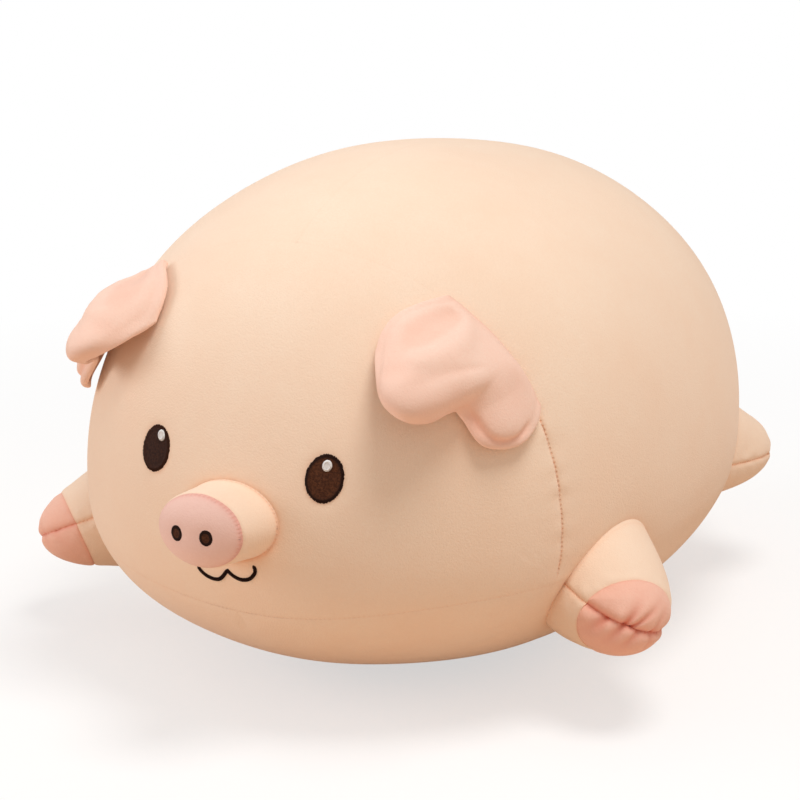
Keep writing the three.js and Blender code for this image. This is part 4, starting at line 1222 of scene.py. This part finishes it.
# Ears: a sheet of plush with a rolled rim, sewn in the cross seam, with its end folded down

def ear_root(share):
    angle = np.radians(mix(EAR_TOP_ANGLE, EAR_BOTTOM_ANGLE, np.asarray(share, float)))
    return on_body(cross_seam(angle), EAR_ROOT)


EAR_HINGE = ear_root(0.5)
EAR_BASE = ear_root(1) - ear_root(0)
EAR_HALF_BASE = norm(EAR_BASE) / 2
EAR_BASE = unit(EAR_BASE)
LEVEL_OUT = unit(array([0, -1, 0]) + EAR_BASE * EAR_BASE[1])
EAR_OUT = array(Matrix.Rotation(np.radians(EAR_SLOPE), 3, Vector(EAR_BASE)) @ Vector(LEVEL_OUT))
EAR_UP = unit(np.cross(EAR_OUT, EAR_BASE))
EAR_AXES = np.stack([EAR_BASE, EAR_OUT, EAR_UP])


def ear_sized(places):
    """Places in the ear's frame from shares of its base, its reach and the standoff from the head."""
    places = array(places)
    along, out = places[:, 0] * EAR_HALF_BASE, places[:, 1] * EAR_REACH
    level = crossing(-BODY_HALF_WIDTH / 2, np.full(len(places), EAR_REACH),
                     lambda rise: EAR_HINGE + place(along, out, rise) @ EAR_AXES)
    return place(along, out, level + places[:, 2] * EAR_STANDOFF)


def ear_middle(u, v, end_shares):
    """A place on the middle of an ear on the left: u runs down the sewn edge, and v out to the end."""
    to_ear = lambda points: (points - EAR_HINGE) @ EAR_AXES.T
    end_points = ear_sized(end_shares)
    sewn_start, sewn_stop = to_ear(ear_root(0)), to_ear(ear_root(1))
    sewn = to_ear(ear_root(u))
    top = catmull(concatenate([[sewn_start], ear_sized(EAR_TOP_SHARES), end_points[:1]]), v)
    end = catmull(end_points, u)
    bottom = catmull(concatenate([[sewn_stop], ear_sized(EAR_BOTTOM_SHARES), end_points[-1:]]), v)

    def spanned(axis, across, upper, lower):
        upper_side = top[..., axis] - mix(sewn_start[axis], end_points[0, axis], across)
        lower_side = bottom[..., axis] - mix(sewn_stop[axis], end_points[-1, axis], across)
        return mix(sewn[..., axis], end[..., axis], across) + upper * upper_side + lower * lower_side

    fold = v ** EAR_FOLD_SHARE
    swell = sin(pi * u)
    bulges = sum(most * hump(u - spot, width, power) for spot, width, power, most in EAR_BULGES)
    out = spanned(1, v, 1 - u, u) + EAR_FOLD_REACH * sin(pi * fold) * swell * bulges
    rise = spanned(2, fold, (1 - u) ** EAR_SIDE_HANG_SHARE, u ** EAR_SIDE_HANG_SHARE)
    camber = EAR_CAMBER * swell * sin(pi * v)
    return EAR_HINGE + place(spanned(0, v, 1 - u, u), out, rise + camber) @ EAR_AXES


def soft_least(*distances):
    """The least of some distances, rounded where two are alike, and still nothing at an edge."""
    least = np.min(distances, axis=0)
    total = sum(fade(distance - least, EAR_ROUNDING) for distance in distances)
    return maximum(least - EAR_ROUNDING * np.log(total) * smooth(least / EAR_ROUNDING_START), 0)


def bend(u, v, start, stop, width, height):
    """A soft ridge or hollow along a line over the ear, in shares of its two directions."""
    start, stop = array(start), array(stop)
    way = stop - start
    length = norm(way)
    offset = place(u - start[0], v - start[1], 0)[..., :2]
    along = offset @ way / length ** 2
    across = (offset[..., 0] * way[1] - offset[..., 1] * way[0]) / length
    return height * hump(maximum(np.abs(along - 0.5) - 0.3, 0), 0.25) * hump(across, width)


def add_ear(word, side):
    u, v = shares(dense_at_ends(EAR_COLUMNS, 0.5), 1 - (1 - linspace(0, 1, EAR_ROWS)) ** EAR_ROW_SHARE)
    probe = 1e-3
    ends = EAR_END_SHARES if side > 0 else RIGHT_EAR_END_SHARES
    middle = ear_middle(u, v, ends)
    down = ear_middle(clip(u + probe, 0, 1), v, ends) - ear_middle(clip(u - probe, 0, 1), v, ends)
    out = ear_middle(u, clip(v + probe, 0, 1), ends) - ear_middle(u, clip(v - probe, 0, 1), ends)
    normal = unit(np.cross(out, down))
    edge = soft_least(run(middle, 0), run(middle, 0, True), run(middle, 1, True))
    off_line = edge - EAR_STITCH_LINE
    lobe = math.prod(smooth((share - start) / width) for share, (start, width) in zip((u, v), EAR_LOBE))
    half = EAR_RIM * sqrt(1 - (1 - clip(edge / EAR_RIM, 0, 1)) ** 2)
    half -= (EAR_GROOVE_DEPTH + EAR_LOBE_GROOVE_DEPTH * lobe) * hump(off_line, EAR_STITCH_WIDTH)
    half += (EAR_FULLNESS - EAR_RIM) * smooth(off_line / EAR_FULL_WIDTH) * smooth(v / 0.15)
    half += EAR_PUCKER * ripple(middle, EAR_PUCKER_LENGTH, 52) * hump(off_line, EAR_PUCKER_WIDTH)
    folds = sum(bend(u, v, *values) for values in EAR_BENDS) * smooth(edge / 0.006)
    wrinkle = EAR_WRINKLE * ripple(middle, EAR_WRINKLE_LENGTH, 51) * smooth(edge / 0.01)
    surface = middle + normal * (folds + wrinkle)[..., None]
    layers = [(surface + normal * (way * half)[..., None]).reshape(-1, 3) for way in (1, -1)]
    columns, rows = u.shape
    faces, other = (array(grid_faces(columns, rows, turned=turned)) for turned in (side > 0, side < 0))
    near = np.arange(columns) * rows
    far = near + columns * rows
    root = np.stack([near[:-1], far[:-1], far[1:], near[1:]], axis=-1)
    quads = concatenate([faces, other + columns * rows, root[:, ::-1] if side < 0 else root]).tolist()
    # Painted shade along the stitch line, deeper on the lobe, in the hollows and at the root.
    crease_shade = (EAR_LINE_SHADES[0] + EAR_LINE_SHADES[1] * lobe) * hump(off_line, EAR_SHADE_WIDTH)
    crease_shade += EAR_HOLLOW_SHADE * smooth(-folds / EAR_HOLLOW_DEPTH)
    crease_shade = maximum(crease_shade, fade(run(middle, 1), *EAR_ROOT_SHADE))
    values = {"crease_shade": concatenate([crease_shade.ravel()] * 2)}
    made = add_mesh(word + "_ear_plush", concatenate(layers) * (side, 1, 1), quads, EAR_PEACH, values)
    bent = (word + "_ear", EAR_HINGE * (side, 1, 1), (EAR_HINGE + EAR_OUT * EAR_BLEND) * (side, 1, 1))
    nodes = [f"{word}_ear_{layer}" for layer in ("back", "front", "wadding")]
    dress(made, nodes, bent)


# Tail: a stuffed tube that curls once behind the body

def add_tail():
    seat = on_body(back_seam(TAIL_PLACE))
    out_way = body_normal(seat)
    root = seat + out_way * (TAIL_RADIUS + TAIL_STANDOFF)
    up_way = place(0, -out_way[2], out_way[1])
    share = linspace(0, 1, TAIL_STEPS + 1)
    curl = TAIL_CURL_RADIUS * smooth(share / TAIL_LEAD_SHARE)
    turn = 2 * pi * TAIL_TURNS * share
    reach = TAIL_LEAD * smooth(share / TAIL_LEAD_SHARE) + TAIL_PITCH * share
    path = root + out_way * reach[:, None] + up_way * (curl * (1 - cos(turn)))[:, None]
    path = path + place(curl * sin(turn), 0, 0)
    along = unit(np.gradient(path, axis=0))
    side = [unit(np.cross(along[0], up_way))]
    for way in along[1:]:
        side.append(unit(side[-1] - way * (side[-1] @ way)))
    side = array(side)
    other = np.cross(along, side)
    root_cap, tip_cap = linspace(-pi / 2, 0, TAIL_CAP_STEPS)[:-1], linspace(0, pi / 2, TAIL_CAP_STEPS)[1:]
    line = clip(np.arange(-len(root_cap), TAIL_STEPS + 1 + len(tip_cap)), 0, TAIL_STEPS)
    cap = concatenate([root_cap, np.zeros(TAIL_STEPS + 1), tip_cap])
    angle, _ = shares(linspace(0, 2 * pi, TAIL_COLUMNS, endpoint=False), cap)
    radius = mix(TAIL_RADIUS, TAIL_TIP_RADIUS, share[line])
    seam = np.abs(np.angle(exp(1j * (angle - pi)))) * radius
    girth = (radius - TAIL_SEAM_DEPTH * hump(seam, TAIL_SEAM_WIDTH)) * cos(cap)
    points = (path[line] + along[line] * (radius * sin(cap))[:, None]
              + side[line] * (girth * cos(angle))[..., None] + other[line] * (girth * sin(angle))[..., None])
    wrinkle = TAIL_WRINKLE * ripple(points, TAIL_WRINKLE_LENGTH, 61)
    points = points + unit(points - path[line]) * wrinkle[..., None]
    # Painted shade along the tail's seam.
    values = {"crease_shade": hump(seam, TAIL_SHADE_WIDTH)}
    made = add_mesh("tail_plush", points, grid_faces(*angle.shape, closed=True), PEACH, values)
    bent = ("tail", root - out_way * TAIL_RADIUS, root + out_way * TAIL_LEAD)
    dress(made, ["tail_cover", "tail_stuffing"], bent)


# Camera, light and floor

def add_camera():
    azimuth, elevation = np.radians([VIEW_AZIMUTH, VIEW_ELEVATION])
    back = array([sin(azimuth) * cos(elevation), -cos(azimuth) * cos(elevation), sin(elevation)])
    right = array([cos(azimuth), sin(azimuth), 0])
    up = np.cross(back, right)
    aim = array([0, 0, WIDEST_LEVEL]) + VIEW_ACROSS * right + VIEW_UP * up
    values = {"lens": LENS, "sensor_width": SENSOR, "clip_start": 0.01, "clip_end": 100}
    camera = linked("camera", given(bpy.data.cameras.new("camera"), values))
    turn = Matrix(np.stack([right, up, back], axis=1).tolist()).to_4x4()
    camera.matrix_world = Matrix.Translation(Vector(aim + VIEW_DISTANCE * back)) @ turn
    bpy.context.scene.camera = camera


def add_lamp(name, spot, aim, size, power, colour):
    values = {"shape": "DISK", "size": size, "energy": power, "color": colour}
    turn = (Vector(spot) - Vector(aim)).to_track_quat("Z", "Y")
    lamp = linked(name, given(bpy.data.lights.new(name, "AREA"), values))
    given(lamp, {"location": spot, "rotation_mode": "QUATERNION", "rotation_quaternion": turn})


def add_world():
    world = bpy.data.worlds.new("studio")
    bpy.context.scene.world = world
    world.use_nodes = True
    nodes = Nodes(world.node_tree)
    soft = nodes.add("Background", {"Color": WORLD_COLOUR, "Strength": WORLD_LIGHT})
    white = nodes.add("Background", {"Color": (1, 1, 1, 1)})
    nodes.feed(nodes.tree.nodes["World Output"], {"Surface": nodes.seen(soft, white)})


def floor_material():
    """A pale floor that shows the object's shadow near it and fades to white further out."""
    material, nodes, shader = new_material("floor")
    nodes.tree.nodes.remove(shader)
    plain = nodes.add("BsdfDiffuse", {"Color": linear(*FLOOR_COLOUR)})
    shown = nodes.add("BsdfDiffuse", {"Color": (FLOOR_SHOWN, FLOOR_SHOWN, FLOOR_SHOWN, 1)})
    near = nodes.add("AddShader", {0: shown, 1: nodes.add("Emission", {"Strength": FLOOR_GLOW})})
    out = nodes.spread(nodes.add("VectorMath", {0: nodes.place}, "Value", operation="LENGTH"), *FLOOR_FADE)
    look = nodes.add("MixShader", {0: out, 1: near, 2: nodes.add("Emission", {})})
    nodes.feed(nodes.tree.nodes["Material Output"], {"Surface": nodes.seen(plain, look)})
    return material


def add_studio():
    add_world()
    for name, values in LAMPS.items():
        add_lamp(name, *values)
    corners = [(x * FLOOR_HALF, y * FLOOR_HALF, FLOOR_LEVEL) for x, y in ((-1, -1), (1, -1), (1, 1), (-1, 1))]
    add_mesh("floor", corners, [(0, 1, 2, 3)], floor_material(), flat=True)


add_camera()
add_studio()
add_embroidery(add_body())
add_snout()
add_legs()
add_ear("left", 1)
add_ear("right", -1)
add_tail()
bpy.context.scene.view_settings.view_transform = "Standard"
